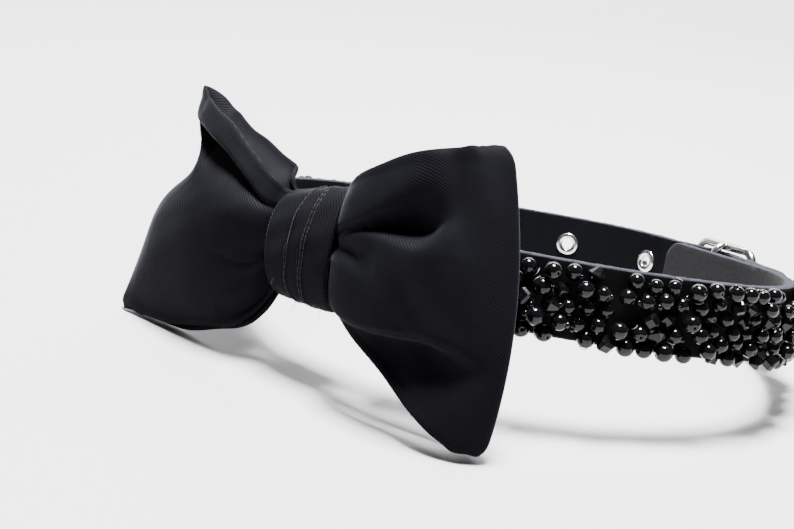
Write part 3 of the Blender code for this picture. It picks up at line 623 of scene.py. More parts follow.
def grid_faces(rows, columns, closed_rows=False, closed_columns=False):
    """Quads between the points of a grid, and the row and column of each."""
    row, column = np.meshgrid(np.arange(rows if closed_rows else rows - 1),
                              np.arange(columns if closed_columns else columns - 1), indexing="ij")
    row, column = row.ravel(), column.ravel()
    below, beside = (row + 1) % rows, (column + 1) % columns
    faces = np.stack((row * columns + column, row * columns + beside,
                      below * columns + beside, below * columns + column), -1)
    return faces, row, column


def skin_of(rings, sides, closed=False):
    """The faces of a tube of rings, with a cap at each end where it isn't closed."""
    faces = grid_faces(rings, sides, closed, True)[0].tolist()
    if not closed:
        faces += [list(range(sides)), list(range((rings - 1) * sides, rings * sides))]
    return faces


def grid_uv(first, second, row, column):
    """Coordinates of each face's corners, from grids with one more row or column where they close."""
    grid = np.stack(np.broadcast_arrays(first, second), -1)
    return np.stack((grid[row, column], grid[row, column + 1],
                     grid[row + 1, column + 1], grid[row + 1, column]), 1)


def circle(radius, sides, start=0.0):
    turns = start + np.arange(sides) * math.tau / sides
    return np.column_stack((np.cos(turns), np.sin(turns))) * radius


def tube(route, radius, sides, closed=False):
    """Points and faces of a round tube along a route. The radius may change along it."""
    route = np.asarray(route, float)
    count = len(route)
    radius = np.broadcast_to(np.asarray(radius, float), (count,))
    if closed:
        ahead = np.roll(route, -1, axis=0) - np.roll(route, 1, axis=0)
    else:
        ahead = np.gradient(route, axis=0)
    ahead = unit(ahead)
    side = np.cross(ahead[0], (0.31, 0.22, 0.93))
    rings = []
    for k in range(count):
        side = side - ahead[k] * (side @ ahead[k])
        side /= np.linalg.norm(side)
        over = np.cross(ahead[k], side)
        ring = circle(radius[k], sides)
        rings.append(route[k] + ring[:, :1] * side + ring[:, 1:] * over)
    return np.concatenate(rings), skin_of(count, sides, closed)


def joined(parts):
    """One list of points and faces from several."""
    points, faces, base = [], [], 0
    for some, skin in parts:
        points.append(np.asarray(some))
        faces += [[k + base for k in face] for face in skin]
        base += len(some)
    return np.concatenate(points), faces


def shape_with(made, tool, operation):
    """Cuts or joins a mesh with another, and removes the other."""
    change = made.modifiers.new("shape", "BOOLEAN")
    change.operation = operation
    change.solver = "EXACT"
    change.object = tool
    bpy.context.view_layer.update()
    seen = made.evaluated_get(bpy.context.evaluated_depsgraph_get())
    shaped = bpy.data.meshes.new_from_object(seen)
    made.modifiers.remove(change)
    made.data = shaped
    bpy.data.objects.remove(tool)


def helper(name, points, faces):
    """A tool for cutting, which is removed after its use."""
    return piece(name, points, faces, [], smooth=False, body=None)


# Strap

def rounded_box(half_wide, half_thick, corner, along_wide, along_thick):
    """A ring of (out, up) around a section, and for each side step 0 outer face, 1 edge, 2 inner face."""
    ring, kind, arcs = [], [], []
    for start, out, up in ((90, 1, 1), (0, 1, -1), (-90, -1, -1), (-180, -1, 1)):
        turns = np.radians(np.linspace(start, start - 90, 5))
        arcs.append([(out * (half_thick - corner) + corner * math.cos(t),
                      up * (half_wide - corner) + corner * math.sin(t)) for t in turns])
    for k in range(4):
        ring += arcs[k]
        kind += [1] * 4
        end, begin = arcs[k][-1], arcs[(k + 1) % 4][0]
        steps = along_wide if k in (0, 2) else along_thick
        face = (0, 1, 2, 1)[k]
        kind.append(face)
        for step in range(1, steps):
            ring.append(tuple(lerp(np.array(end), np.array(begin), step / steps)))
            kind.append(face)
    return np.array(ring), kind


def end_half(from_end, corner):
    """Half the strap's width near an end with rounded corners."""
    inside = np.clip(corner - from_end, 0.0, corner)
    return STRAP_WIDTH / 2 - corner + np.sqrt(corner**2 - inside**2)


def strap():
    steps = np.arange(INNER_END - GUARD_CORNER, TAIL_TIP + TAIL_CORNER, -STRAP_STEP)
    turns = np.linspace(0.06, math.pi / 2, 9)
    start = INNER_END - GUARD_CORNER * (1 - np.cos(turns))
    tip = TAIL_TIP + TAIL_CORNER * (1 - np.cos(turns[::-1]))
    places = np.concatenate((start, steps[1:-1], tip))
    halves = np.minimum(end_half(INNER_END - places, GUARD_CORNER),
                        end_half(places - TAIL_TIP, TAIL_CORNER))
    section, kind = rounded_box(STRAP_WIDTH / 2, STRAP_FACE, STRAP_ROUND, 14, 3)
    rng = np.random.default_rng(5)
    count = len(section)
    out = np.tile(section[:, 0], (len(places), 1))
    up = section[:, 1] * (halves / (STRAP_WIDTH / 2))[:, None]
    edge = (np.abs(section[:, 1]) > STRAP_WIDTH / 2 - STRAP_ROUND)[None, :]
    rough = rng.normal(0.0, EDGE_ROUGH[0], up.shape)
    rough = (rough + np.roll(rough, 1, axis=0)) * 0.7
    up = up + edge * rough
    out = out + edge * rng.normal(0.0, EDGE_ROUGH[1], out.shape)
    along = np.tile(places[:, None], (1, count))
    points = strap_place(along, out, up)
    _, row, column = grid_faces(len(places), count, False, True)
    round_place = run_of(np.hypot(*np.diff(np.vstack((section, section[:1])), axis=0).T))
    uv = grid_uv(places[:, None], round_place[None, :], row, column)
    uv = np.concatenate((uv.reshape(-1, 2), np.zeros((2 * count, 2))))
    which = [3 if kind[c] == 2 and places[r] > GUARD_FACE_FROM else kind[c]
             for r, c in zip(row, column)]
    made = piece("strap_leather", points, skin_of(len(places), count),
                 [STRAP_OUTER, STRAP_EDGE, STRAP_INNER, GUARD_FACE], uv, which=which + [1, 1],
                 slot="leather")
    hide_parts("strap")
    for place in eyelet_places():
        frame_here = strap_frame(place)
        ring = circle(EYELET_BORE + EYELET_WALL, HOLE_SIDES)
        hole = [frame_here @ Vector((x, y, up)) for up in (-STRAP_THICK, STRAP_THICK) for x, y in ring]
        shape_with(made, helper("hole", hole, skin_of(2, HOLE_SIDES)), "DIFFERENCE")


# Eyelets

def eyelet_places():
    pinned = BUCKLE_FROM_BOW - LOOP_LENGTH + PRONG_LOOP
    return [pinned + EYELET_PITCH * (k - EYELETS_TO_TIP) for k in range(EYELET_COUNT)]


def eyelets():
    """Rolled eyelets: a barrel with a domed flange outside and a crimped one inside."""
    seat = STRAP_FACE + EYELET_LIFT
    dome = EYELET_FLANGE + CLEARANCE
    roll = np.radians(np.linspace(180, 0, 9))
    middle, half = (EYELET_BORE + EYELET_RADIUS) / 2, (EYELET_RADIUS - EYELET_BORE) / 2
    top = [(middle + half * math.cos(t), seat + dome * math.sin(t) ** 0.75) for t in roll]
    above = [*top, (EYELET_RADIUS - EYELET_LIP, seat), (EYELET_BORE + EYELET_WALL, seat)]
    profile = above + [(r, -z) for r, z in reversed(above)]
    for number, along in enumerate(eyelet_places(), 1):
        place = strap_frame(along)
        points = []
        for k in range(EYELET_SIDES):
            turn = math.tau * k / EYELET_SIDES
            for r, z in profile:
                if z < -seat and r > middle:
                    r *= 1.0 + 0.012 * math.cos(5 * turn + number)
                points.append(place @ Vector((r * math.cos(turn), r * math.sin(turn), z)))
        made = piece(f"eyelet_ring_{number}", points, skin_of(EYELET_SIDES, len(profile), True),
                     [EYELET_METAL], slot="eyelet_nickel")
        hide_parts(f"eyelet_{number}")


# Buckle

def buckle_place(along, out, up):
    place = LOOP.matrix(BUCKLE_FROM_BOW, 0.0, 0.0)
    return np.array(place @ Vector((along, up, out)))


def smooth_route(rows, steps):
    """Many points on a smooth curve through a few."""
    rows = np.asarray(rows, float)
    places = run_of(np.linalg.norm(np.diff(rows, axis=0), axis=1))
    table = np.column_stack((places, rows))
    return smooth_rows(table, np.linspace(0.0, places[-1], steps))


def frame_corner(quarter, degrees):
    """The middle of the frame's wire on one of its four rounded corners."""
    turn = math.radians(degrees)
    along_side = 1 if quarter % 4 in (0, 3) else -1
    up_side = 1 if quarter % 4 in (0, 1) else -1
    return buckle_place(along_side * (RAIL_APART - BUCKLE_CORNER) + BUCKLE_CORNER * math.cos(turn),
                        RAIL_OUT, up_side * (SIDE_APART - BUCKLE_CORNER) + BUCKLE_CORNER * math.sin(turn))


def buckle():
    route = []
    for quarter in range(4):
        route += [frame_corner(quarter, 90 * quarter + 10 * step) for step in range(10)]
        begin, end = route[-1], frame_corner(quarter + 1, 90 * (quarter + 1))
        route += [lerp(begin, end, step / 8) for step in range(1, 8)]
    made = piece("buckle_frame_wire", *tube(route, FRAME_WIRE, 20, closed=True), [NICKEL], slot="nickel")
    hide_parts("buckle_frame")
    straight = CHAPE_WIDTH / 2 + CLEARANCE
    half = ((SIDE_APART, 1.0), (SIDE_APART, 0.62), (lerp(SIDE_APART, straight, 0.25), 0.25),
            (lerp(SIDE_APART, straight, 0.65), 0.05), (straight, 0.0))
    rows = [*half, *((-up, share) for up, share in reversed(half))]
    bar_rows = [buckle_place(0.0, BAR_OUT + BAR_DROP * share, up) for up, share in rows]
    bar = helper("bar", *tube(smooth_route(bar_rows, 60), BAR_WIRE, 16))
    shape_with(made, bar, "UNION")
    set_smooth(made.data)

    rows = []
    for step in range(11):
        turn = math.radians(lerp(110, 360, step / 10))
        rows.append((PRONG_LOOP * math.cos(turn), BAR_OUT + PRONG_LOOP * math.sin(turn)))
    top = TAIL_OVER_BAR + EYELET_FACE + CLEARANCE + PRONG_WIRE
    for step in range(6):
        turn = math.radians(180 - 90 * step / 5)
        rows.append((PRONG_LOOP + PRONG_BEND * (1 + math.cos(turn)),
                     top + PRONG_BEND * (math.sin(turn) - 1)))
    tip_out = RAIL_OUT + FRAME_WIRE + CLEARANCE + PRONG_WIRE
    rows += [(PRONG_LOOP + EYELET_RADIUS + PRONG_WIRE, top), (RAIL_APART, tip_out),
             (RAIL_APART + FRAME_WIRE, tip_out)]
    route = smooth_route([buckle_place(along, out, 0.0) for along, out in rows], 90)
    radius = np.full(90, PRONG_WIRE)
    radius[-5:] *= (0.97, 0.9, 0.76, 0.55, 0.25)
    radius[:3] *= (0.4, 0.8, 0.97)
    made = piece("buckle_pin", *tube(route, radius, 14), [PRONG_STEEL], slot="prong_steel")
    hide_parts("buckle_prong")


def chape():
    """The folded leather tab: a strip that wraps the bar, stitched down doubled on the strap."""
    thick = CHAPE_THICK * CHAPE_PRESSED
    low = STRAP_FACE + CLEARANCE + CHAPE_THICK / 2
    high = low + CHAPE_THICK
    bend = CHAPE_EYE + CHAPE_THICK / 2
    rows = [(-CHAPE_LENGTH, low), (-CHAPE_LENGTH * 0.7, low), (-CHAPE_OUTER * 2.2, low)]
    for step in range(13):
        turn = math.radians(lerp(-118, 118, step / 12))
        rows.append((bend * math.cos(turn), BAR_OUT + bend * math.sin(turn)))
    rows += [(-CHAPE_OUTER * 2.6, high), (-CHAPE_LENGTH * 0.7, high), (-CHAPE_LENGTH, high)]
    middle = smooth_route(rows, 110)
    ahead = unit(np.gradient(middle, axis=0))
    section, _ = rounded_box(CHAPE_WIDTH / 2, thick / 2, thick * 0.3, 10, 1)
    points = []
    for (along, out), (forward, rise) in zip(middle, ahead):
        for over, up in section:
            points.append(buckle_place(along - over * rise, out + over * forward, up))
    made = piece("buckle_tab", points, skin_of(len(middle), len(section)), [TAB_LEATHER],
                 slot="tab_leather")
    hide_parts("buckle_chape")
    swing = PRONG_LOOP + PRONG_WIRE + CLEARANCE
    wide = PRONG_WIRE + SLOT_SIDE_GAP
    corners = [buckle_place(along, out, up) for up in (-wide, wide)
               for along, out in ((-swing, 0.0), (swing, 0.0), (swing, RAIL_OUT), (-swing, RAIL_OUT))]
    box = [(0, 1, 2, 3), (4, 5, 6, 7), (0, 1, 5, 4), (1, 2, 6, 5), (2, 3, 7, 6), (3, 0, 4, 7)]
    shape_with(made, helper("slot", corners, box), "DIFFERENCE")

    stitches = []
    reach = CHAPE_WIDTH * 0.42
    for line in STITCH_LINES:
        for step in range(6):
            ups = np.linspace(lerp(-reach, reach, (step + 0.15) / 6),
                              lerp(-reach, reach, (step + 0.85) / 6), len(STITCH_HEIGHTS))
            route = [buckle_place(-CHAPE_LENGTH * line, high + thick / 2 + lift, up)
                     for up, lift in zip(ups, STITCH_HEIGHTS)]
            stitches.append(tube(route, STITCH_WIRE, 8))
    piece("buckle_tab_stitches", *joined(stitches), [THREAD], slot="tab_leather")


# Beads

def turned(profile, sides):
    """Points and faces of a closed profile turned round Z."""
    points = [(r * x, r * y, z) for x, y in circle(1.0, sides) for r, z in profile]
    return np.array(points), skin_of(sides, len(profile), True)


def round_bead(radius, hole=0.17):
    """A drilled ball, its hole along Z."""
    sides, rings = 16, 9
    start = math.asin(hole)
    profile = [(radius * math.sin(t), radius * math.cos(t))
               for t in np.linspace(start, math.pi - start, rings)]
    rim, deep = radius * hole * 0.62, radius * math.cos(start) * 0.90
    return turned(profile + [(rim, -deep), (rim, deep)], sides)


def cut_bead(radius, rng):
    """A faceted bead: two blunt cones of a few facets, base to base."""
    sides = int(rng.integers(5, 8))
    tall = radius * rng.uniform(0.85, 1.10)
    waist = radius * rng.uniform(1.02, 1.14)
    collar = radius * rng.uniform(0.26, 0.42)
    hole = radius * 0.16
    half = [(hole, tall), (collar, tall), (waist, tall * 0.07)]
    return turned(half + [(r, -z) for r, z in reversed(half)], sides)


def block_bead(radius, rng):
    """A cube with cut corners."""
    half = radius * rng.uniform(0.74, 0.84)
    cut = half * rng.uniform(0.30, 0.5)
    bm = bmesh.new()
    for axis, face, first, second in itertools.product(range(3), (-1, 1), (-1, 1), (-1, 1)):
        spot = [0.0, 0.0, 0.0]
        spot[axis] = face * half
        spot[(axis + 1) % 3] = first * (half - cut)
        spot[(axis + 2) % 3] = second * (half - cut)
        bm.verts.new(spot)
    bmesh.ops.convex_hull(bm, input=list(bm.verts))
    bmesh.ops.dissolve_limit(bm, angle_limit=0.02, verts=list(bm.verts), edges=list(bm.edges))
    bm.verts.index_update()
    points = np.array([v.co[:] for v in bm.verts])
    faces = [[v.index for v in face.verts] for face in bm.faces]
    bm.free()
    return points, faces


def spread_beads(start, end, rng, thin):
    """Where beads lie on a stretch of strap: loose rows, pushed apart, the later ones on the earlier."""
    length = abs(end - start)
    spots = []
    for k, (begin, rows, radius, top, low) in enumerate(BEAD_STRETCHES):
        finish = BEAD_STRETCHES[k + 1][0] if k + 1 < len(BEAD_STRETCHES) else length
        count = int((finish - begin) / (BEAD_SPACING * radius))
        for row in range(rows):
            up = lerp(top, low, row / (rows - 1))
            for step in range(count):
                away = begin + (step + 0.25 + 0.5 * (row % 2)) * (finish - begin) / count
                if rng.random() < thin(away):
                    spots.append((away + rng.normal(0, BEAD_JITTER[0]),
                                  up + rng.normal(0, BEAD_JITTER[1]),
                                  radius * rng.uniform(0.90, 1.06), top, low))
    places, (sizes, top, low) = np.array(spots)[:, :2], np.array(spots)[:, 2:].T
    for _ in range(BEAD_PUSHES):
        gap = places[:, None] - places[None, :]
        itself = np.eye(len(places))
        apart = np.linalg.norm(gap, axis=2) + itself
        need = (sizes[:, None] + sizes[None, :]) * 0.97
        push = np.clip(need - apart, 0.0, None) * (1 - itself)
        places += (gap / apart[:, :, None] * push[:, :, None]).sum(1) * 0.30
        places[:, 0] = np.clip(places[:, 0], 0.0, length)
        places[:, 1] = np.clip(places[:, 1], low - 0.0004, top + 0.0005)
    rises = np.zeros(len(places))
    done = []
    for k in rng.permutation(len(places)):
        for other in done:
            reach = sizes[k] + sizes[other]
            apart = np.linalg.norm(places[k] - places[other])
            if apart < reach:
                rises[k] = max(rises[k], rises[other] + math.sqrt(reach**2 - apart**2) * 0.9)
        if rises[k] < BEAD_PILE:
            done.append(k)
    return [(places[k, 0], places[k, 1], sizes[k], rises[k]) for k in done]


def bead_field(name, node, start, end, seed, thin):
    rng = np.random.default_rng(seed)
    sign = 1 if end > start else -1
    balls, cuts, tiny, threads = [], [], [], []
    for away, up, size, rise in spread_beads(start, end, rng, thin):
        along = start + sign * away
        out = float(tail_out(along)) + STRAP_FACE + size + 0.0001 + rise
        place = LOOP.matrix(along, out, up)
        flat_turn = Matrix.Rotation(rng.uniform(0, math.tau), 4, "Z")
        tilt = Matrix.Rotation(math.radians(rng.choice([90, 90, 90, 70, 40, 15])), 4, "X")
        spin = flat_turn @ tilt @ Matrix.Rotation(rng.uniform(0, math.tau), 4, "Z")
        kind = rng.random()
        keep = balls if kind < ROUND_SHARE else cuts
        if kind < ROUND_SHARE:
            points, faces = round_bead(size)
        elif kind < ROUND_SHARE + CUT_SHARE:
            points, faces = cut_bead(size, rng)
        else:
            points, faces = block_bead(size * 0.95, rng)
        keep.append((moved(points, place @ spin), faces))
        if rng.random() < SMALL_SHARE:
            points, faces = round_bead(size * rng.uniform(0.30, 0.42), 0.25)
            side = rng.uniform(0, math.tau)
            beside = (math.cos(side) * size * 0.95, math.sin(side) * size * 0.95, size * 0.25)
            tiny.append((moved(points, place @ Matrix.Translation(beside) @ tilt), faces))
        if rng.random() < THREAD_SHARE:
            threads.append(thread_bit(place, size, rng))
    made = piece(name + "_round", *joined(balls), [JET_ROUND], slot="jet_beads")
    piece(name + "_cut", *joined(cuts), [JET_CUT], smooth=False, slot="jet_beads")
    piece(name + "_small", *joined(tiny), [JET_ROUND], slot="jet_beads")
    piece(name + "_thread", *joined(threads), [NYLON], slot="jet_beads")
    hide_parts(node)


def thread_bit(place, size, rng):
    """A short loop of clear thread that shows between two beads."""
    side = rng.uniform(0, math.tau)
    reach = size * rng.uniform(0.9, 1.25)
    height = size * rng.uniform(-0.15, 0.55)
    route = []
    for step in np.linspace(-1, 1, 9):
        bow = height * (1 - step**2) - size * 0.25 * step**2
        turn = side + step * 0.45
        route.append(place @ Vector((reach * math.cos(turn), reach * math.sin(turn), bow)))
    return tube(route, CLEAR_WIRE, 6)


# Bow

def fold_press(folds, bands, length_share, height, middle):
    """How far folds press a panel in, in metres. Middle is half the section's height."""
    total = np.zeros(length_share.shape)
    for runs, across, scale, paths in ((length_share, height, middle, folds),
                                       (height, length_share, BOW_LENGTH, bands)):
        for path in paths:
            path = sorted(path)
            where = np.clip(runs, path[0][0], path[-1][0])
            line, deep, over, under = np.moveaxis(smooth_rows(path, where), -1, 0)
            off = (across - line) * scale * 1000.0
            total += deep * 0.001 * np.exp(-(off / np.where(off > 0, over, under)) ** 2)
    return total


def wing(side, around, height):
    """Points of a wing's cloth. Around runs from 1, front at the waist, over 0, the outer fold, to -1."""
    around, height = np.broadcast_arrays(np.asarray(around, float), np.asarray(height, float))
    sections = RIGHT_SECTIONS if side > 0 else LEFT_SECTIONS
    long_top, long_bottom, bulge, lean_top, lean_bottom = WING_LEAN[side]
    away = np.abs(around)
    length_share = 1.0 - away**2 / lerp(FOLD_SHARE, 1.0, away)
    read = np.moveaxis(smooth_rows(sections, length_share), -1, 0)
    top, bottom, top_behind, bottom_behind, back, front = read
    top = np.where(around > 0, top, top_behind)
    bottom = np.where(around > 0, bottom, bottom_behind)
    rise = (height + 1.0) / 2.0
    up = lerp(-bottom, top, rise) * BOW_HEIGHT
    longest = (lerp(long_bottom, long_top, rise) + bulge * (1 - height**2)) * BOW_LENGTH
    if side < 0:
        notch_at, half_above, half_below, notch_deep = NOTCH
        notch_half = np.where(height > notch_at, half_above, half_below)
        longest = longest - notch_deep * BOW_LENGTH * np.exp(-((height - notch_at) / notch_half) ** 2)
    cut = np.where(height > 0, *CORNER_CUT[side])
    longest = longest - cut * np.clip((np.abs(height) - 0.90) / 0.10, 0.0, 1.0) ** 2
    length = lerp(WAIST_REACH[side], longest, length_share)
    middle = (front + back) / 2
    waist = np.sqrt(1.0 - WAIST_ROUND * height**2)
    (front_top, front_bottom), (back_top, back_bottom) = HEM_CLOSE[side]
    close = np.where(around > 0, np.where(height > 0, front_top, front_bottom),
                     np.where(height > 0, back_top, back_bottom))
    flat = 1.0 - close * np.abs(height) ** np.where((height < 0) & (side < 0), 2.0, 3.0)
    if side < 0:
        at, half_at, near, roll = BACK_ROLL
        rolled = flat - near * np.exp(-((height - at) / half_at) ** 2)
        rolled = rolled + roll * ease((height - at) / (1.0 - at))
        flat = np.where(around > 0, flat, rolled)
    flat = lerp(waist, flat, ease(length_share * np.where((around < 0) & (side < 0), 7.0, 3.0)))
    at_fold = np.minimum(1.0, away / FOLD_SHARE)
    half = (front - back) / 2 * flat * np.sin(at_fold * math.pi / 2)
    at_front = around > 0
    folds, bands = (RIGHT_FOLDS, RIGHT_BANDS) if side > 0 else (LEFT_FOLDS, ())
    halfway = (top + bottom) / 2 * BOW_HEIGHT
    press = np.where(at_front, fold_press(folds, bands, length_share, height, halfway),
                     fold_press(BACK_FOLDS, (), length_share, height, halfway)) / BOW_DEPTH
    press = np.minimum(press, PRESS_MOST * (front - back)) * at_fold
    if side < 0:
        press = np.where(at_front, press * ease((1.0 - height) / HEM_FREE), press)
    half = half - press
    half = half + wing_ripples(side, length_share, height, at_front) * at_fold / BOW_DEPTH
    out = (middle + np.where(at_front, 1.0, -1.0) * half) * BOW_DEPTH
    out = out - lerp(lean_bottom, lean_top, rise) * BOW_DEPTH * length_share**2
    reach = np.minimum(length, WAIST_REACH[side])
    point, ahead, outward = LOOP.frame(side * reach)
    turn = (length - reach) / WING_SPINE_RADIUS
    across = (WING_SPINE_RADIUS * np.sin(turn))[..., None]
    behind = (WING_SPINE_RADIUS * (1 - np.cos(turn)))[..., None]
    face = outward * np.cos(turn)[..., None] + ahead * side * np.sin(turn)[..., None]
    flat_point = point + ahead * side * across - outward * behind + face * out[..., None]
    up = up + hem_ripples(side, length_share, height)
    return np.concatenate((flat_point, up[..., None]), -1)


def wing_ripples(side, length_share, height, at_front):
    """Gathers that fan out of the knot, and the soft waves of pressed cloth, in metres."""
    seed = 1.3 if side > 0 else 4.1
    near_knot = np.exp(-(length_share / 0.10) ** 2)
    phase = height * 9.0 + seed + 0.8 * np.sin(height * 4.0 + seed)
    gathers = 0.00045 * near_knot * np.sin(phase) * np.where(at_front, 0.25, 1.6)
    wide = 0.00030 * np.sin(length_share * 6.3 + height * 2.1 + seed) * np.sin(height * 3.7 + seed * 2)
    fine = 0.00012 * np.sin(length_share * 17.0 + height * 5.0 + seed * 3) * np.sin(height * 8.3 - seed)
    return gathers + (wide + fine) * ease(length_share * 4.0)


def hem_ripples(side, length_share, height):
    """The hems' small waves, up and down."""
    at_hem = np.exp(-((1.0 - np.abs(height)) / 0.12) ** 2)
    seed = 0.7 if side > 0 else 2.2
    corner = np.exp(-((length_share - 0.92) / 0.10) ** 2)
    wave = 0.00020 * np.sin(length_share * 14.0 + seed)
    return at_hem * (wave + 0.00030 * corner * np.sin(length_share * 46.0 + seed))


def waist(along, front, height):
    top, bottom, _, _, back_share, front_share = RIGHT_SECTIONS[0][1:]
    middle = (front_share + back_share) / 2 * BOW_DEPTH
    half = (front_share - back_share) / 2 * BOW_DEPTH * np.sqrt(1.0 - WAIST_ROUND * height**2)
    return LOOP.place(np.full(height.shape, along), middle + (half if front else -half),
                      lerp(-bottom, top, (height + 1.0) / 2.0) * BOW_HEIGHT)


def bow():
    heights = np.linspace(-1.0, 1.0, BOW_ROWS + 1)
    across = np.linspace(-0.75 * WAIST_REACH[-1], 0.75 * WAIST_REACH[1], 9)
    panel = np.linspace(1.0, -1.0, 2 * BOW_COLUMNS + 1)
    right = wing(1, panel[:, None], heights[None, :])
    left = wing(-1, -panel[:, None], heights[None, :])
    front = np.stack([waist(along, True, heights) for along in across])
    back = np.stack([waist(along, False, heights) for along in across[::-1]])
    cloth = np.concatenate((front, right, back, left))
    count, rows = cloth.shape[:2]
    around = np.roll(cloth, -1, axis=0) - np.roll(cloth, 1, axis=0)
    up = np.gradient(cloth, axis=1)
    normal, hem_way = unit(np.cross(around, up)), unit(up)
    from_hem = (1.0 - np.abs(heights)) * BOW_HEIGHT
    thick = (BOW_CLOTH / 2 * (0.80 + 0.45 * np.exp(-(from_hem / HEM_REACH) ** 4)))[None, :, None]
    outer, inner = cloth + normal * thick, cloth - normal * thick
    rim = np.radians((45.0, 90.0, 135.0))
    ring = [outer[:, k] for k in range(rows)]
    for hem, sign in ((rows - 1, 1), (0, -1)):
        for turn in rim:
            ring_way = normal[:, hem] * math.cos(turn) * sign + hem_way[:, hem] * math.sin(turn) * sign
            ring.append(cloth[:, hem] + ring_way * thick[0, hem])
        if sign > 0:
            ring += [inner[:, k] for k in range(rows - 1, -1, -1)]
    points = np.stack(ring, axis=1)
    sides = points.shape[1]
    round_place = run_round(cloth[:, rows // 2])
    rise = np.cumsum(np.linalg.norm(np.diff(cloth, axis=1), axis=2), axis=1)
    rise = np.concatenate((np.zeros((count, 1)), rise), 1)
    rise -= rise[:, rows // 2][:, None]
    rise = lerp(rise, heights * BOW_HEIGHT, 0.35)
    order = [*range(rows), rows - 1, rows - 1, rows - 1, *range(rows - 1, -1, -1), 0, 0, 0, 0]
    rise = rise[:, order]
    rise = np.vstack((rise, rise[:1]))
    faces, row, column = grid_faces(count, sides, True, True)
    uv = grid_uv(round_place[:, None], rise, row, column)
    made = piece("bow_cloth", points, faces, [BOW_TWILL], uv, slot="black_twill", soft=BOW_SOFT)
    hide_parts("bow_loop")
    area = np.linalg.norm(np.cross(np.roll(cloth, -1, axis=0)[:, :-1] - cloth[:, :-1],
                                   cloth[:, 1:] - cloth[:, :-1]), axis=2).sum()
    return made, round_place[-1], area


# Knot

def knot_ring(turn):
    """The knot's middle line, round the waist and the strap, as (out, up)."""
    front = (RIGHT_SECTIONS[0][-1] * BOW_DEPTH - KNOT_MIDDLE + (WAIST_CLOTH + KNOT_CLOTH) / 2
             + 2 * CLEARANCE)
    back = KNOT_MIDDLE + STRAP_FACE + KNOT_CLOTH / 2 + 4 * CLEARANCE
    across, over = np.cos(turn), np.sin(turn)
    power = np.where(across > 0, 2.2, 3.4)
    size = (np.abs(across) ** power + np.abs(over) ** power) ** (-1 / power)
    return np.stack((KNOT_MIDDLE + size * across * np.where(across > 0, front, back),
                     size * over * KNOT_HEIGHT), -1)


def seam_line(place, turn):
    """Where a seam runs across the strip."""
    return place + SEAM_WANDER * np.sin(turn * 1.7 + 0.4)


def knot_relief(across, turn):
    """How far the strip's outer face stands out: seam ridges, a groove beside each, soft creases."""
    total = np.zeros(np.broadcast(across, turn).shape)
    for place, rise, wide in KNOT_SEAMS:
        bend = seam_line(place, turn)
        total = total + rise * np.exp(-((across - bend) / wide) ** 2)
        total = total - 0.5 * rise * np.exp(-((across - bend + 2.1 * wide) / wide) ** 2)
    wave = 0.00016 * np.sin(turn * 5.0 + across * 260.0)
    wave = wave + 0.00010 * np.sin(turn * 11.0 - across * 420.0 + 1.0)
    from_edge = np.minimum(across + KNOT_LEFT, KNOT_RIGHT - across)
    return total + wave * (1 - np.exp(-(from_edge / 0.002) ** 2))


def knot_place(turn, across, over):
    """Points of the knot, for arrays of turns round it, places across the strip and heights over it."""
    turn, across, over = np.broadcast_arrays(turn, across, over)
    spot = knot_ring(turn)
    ahead = unit(knot_ring(turn + 0.01) - knot_ring(turn - 0.01))
    pull = 1.0 - 0.06 * np.sin(turn) ** 2 * (np.cos(turn) > 0)
    tilt = np.clip(np.sin(turn), 0.0, 1.0) ** 2 * (0.0006 + 0.20 * across)
    return LOOP.place(across * pull, spot[..., 0] + over * ahead[..., 1],
                      spot[..., 1] + tilt - over * ahead[..., 0])


def knot():
    steps, columns = KNOT_STEPS, KNOT_COLUMNS
    turns = np.arange(steps) * math.tau / steps
    cloth = KNOT_CLOTH / 2
    low, high = cloth - KNOT_LEFT, KNOT_RIGHT - cloth
    flat = np.linspace(low, high, columns)
    rim = np.radians(np.linspace(90, -90, 7))[1:-1]
    across = np.concatenate((flat, high + cloth * np.cos(rim), flat[::-1], low - cloth * np.cos(rim)))
    over = np.concatenate((np.full(columns, cloth), cloth * np.sin(rim), np.full(columns, -cloth),
                           -cloth * np.sin(rim)))
    relief = np.zeros((steps, len(across)))
    relief[:, :columns] = knot_relief(flat[None, :], turns[:, None])
    points = knot_place(turns[:, None], across[None, :], over[None, :] + relief)
    faces, row, column = grid_faces(steps, len(across), True, True)
    round_place = run_round(knot_ring(turns))
    uv = grid_uv(np.append(across, across[0])[None, :], round_place[:, None], row, column)
    made = piece("knot_cloth", points, faces, [KNOT_TWILL], uv, slot="knot_twill")
    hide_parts("knot")

    threads = []
    dip = 0.00005 - 0.00022 * np.abs(np.linspace(-1, 1, 14)) ** 6
    for place, _, _ in KNOT_SEAMS:
        for start in SEAM_STITCHES:
            turn = np.radians(np.linspace(start, start + SEAM_STITCH, 14))
            line = seam_line(place, turn)
            route = knot_place(turn, line, cloth + knot_relief(line, turn) + dip)
            threads.append(tube(route, SEAM_WIRE, 6))
    piece("knot_seam_thread", *joined(threads), [PALE_THREAD], slot="knot_twill")

    rng = np.random.default_rng(12)
    loose = []
    for start, place, length in LOOSE_THREADS:
        base = knot_place(math.radians(start), place, cloth)
        away = np.array((rng.normal(0, 0.35), -0.55, -0.75))
        away /= np.linalg.norm(away)
        bend = np.array((rng.normal(0, 1), rng.normal(0, 0.4), rng.normal(0, 0.6)))
        share = np.linspace(0, 1, 14)[:, None]
        route = base + away * share * length + bend * share**2 * length * 0.35
        loose.append(tube(route, np.linspace(0.00007, 0.00004, 14), 5))
    piece("knot_loose_thread", *joined(loose), [PALE_THREAD], slot="knot_twill")
    return made, round_place[-1]


# Studio

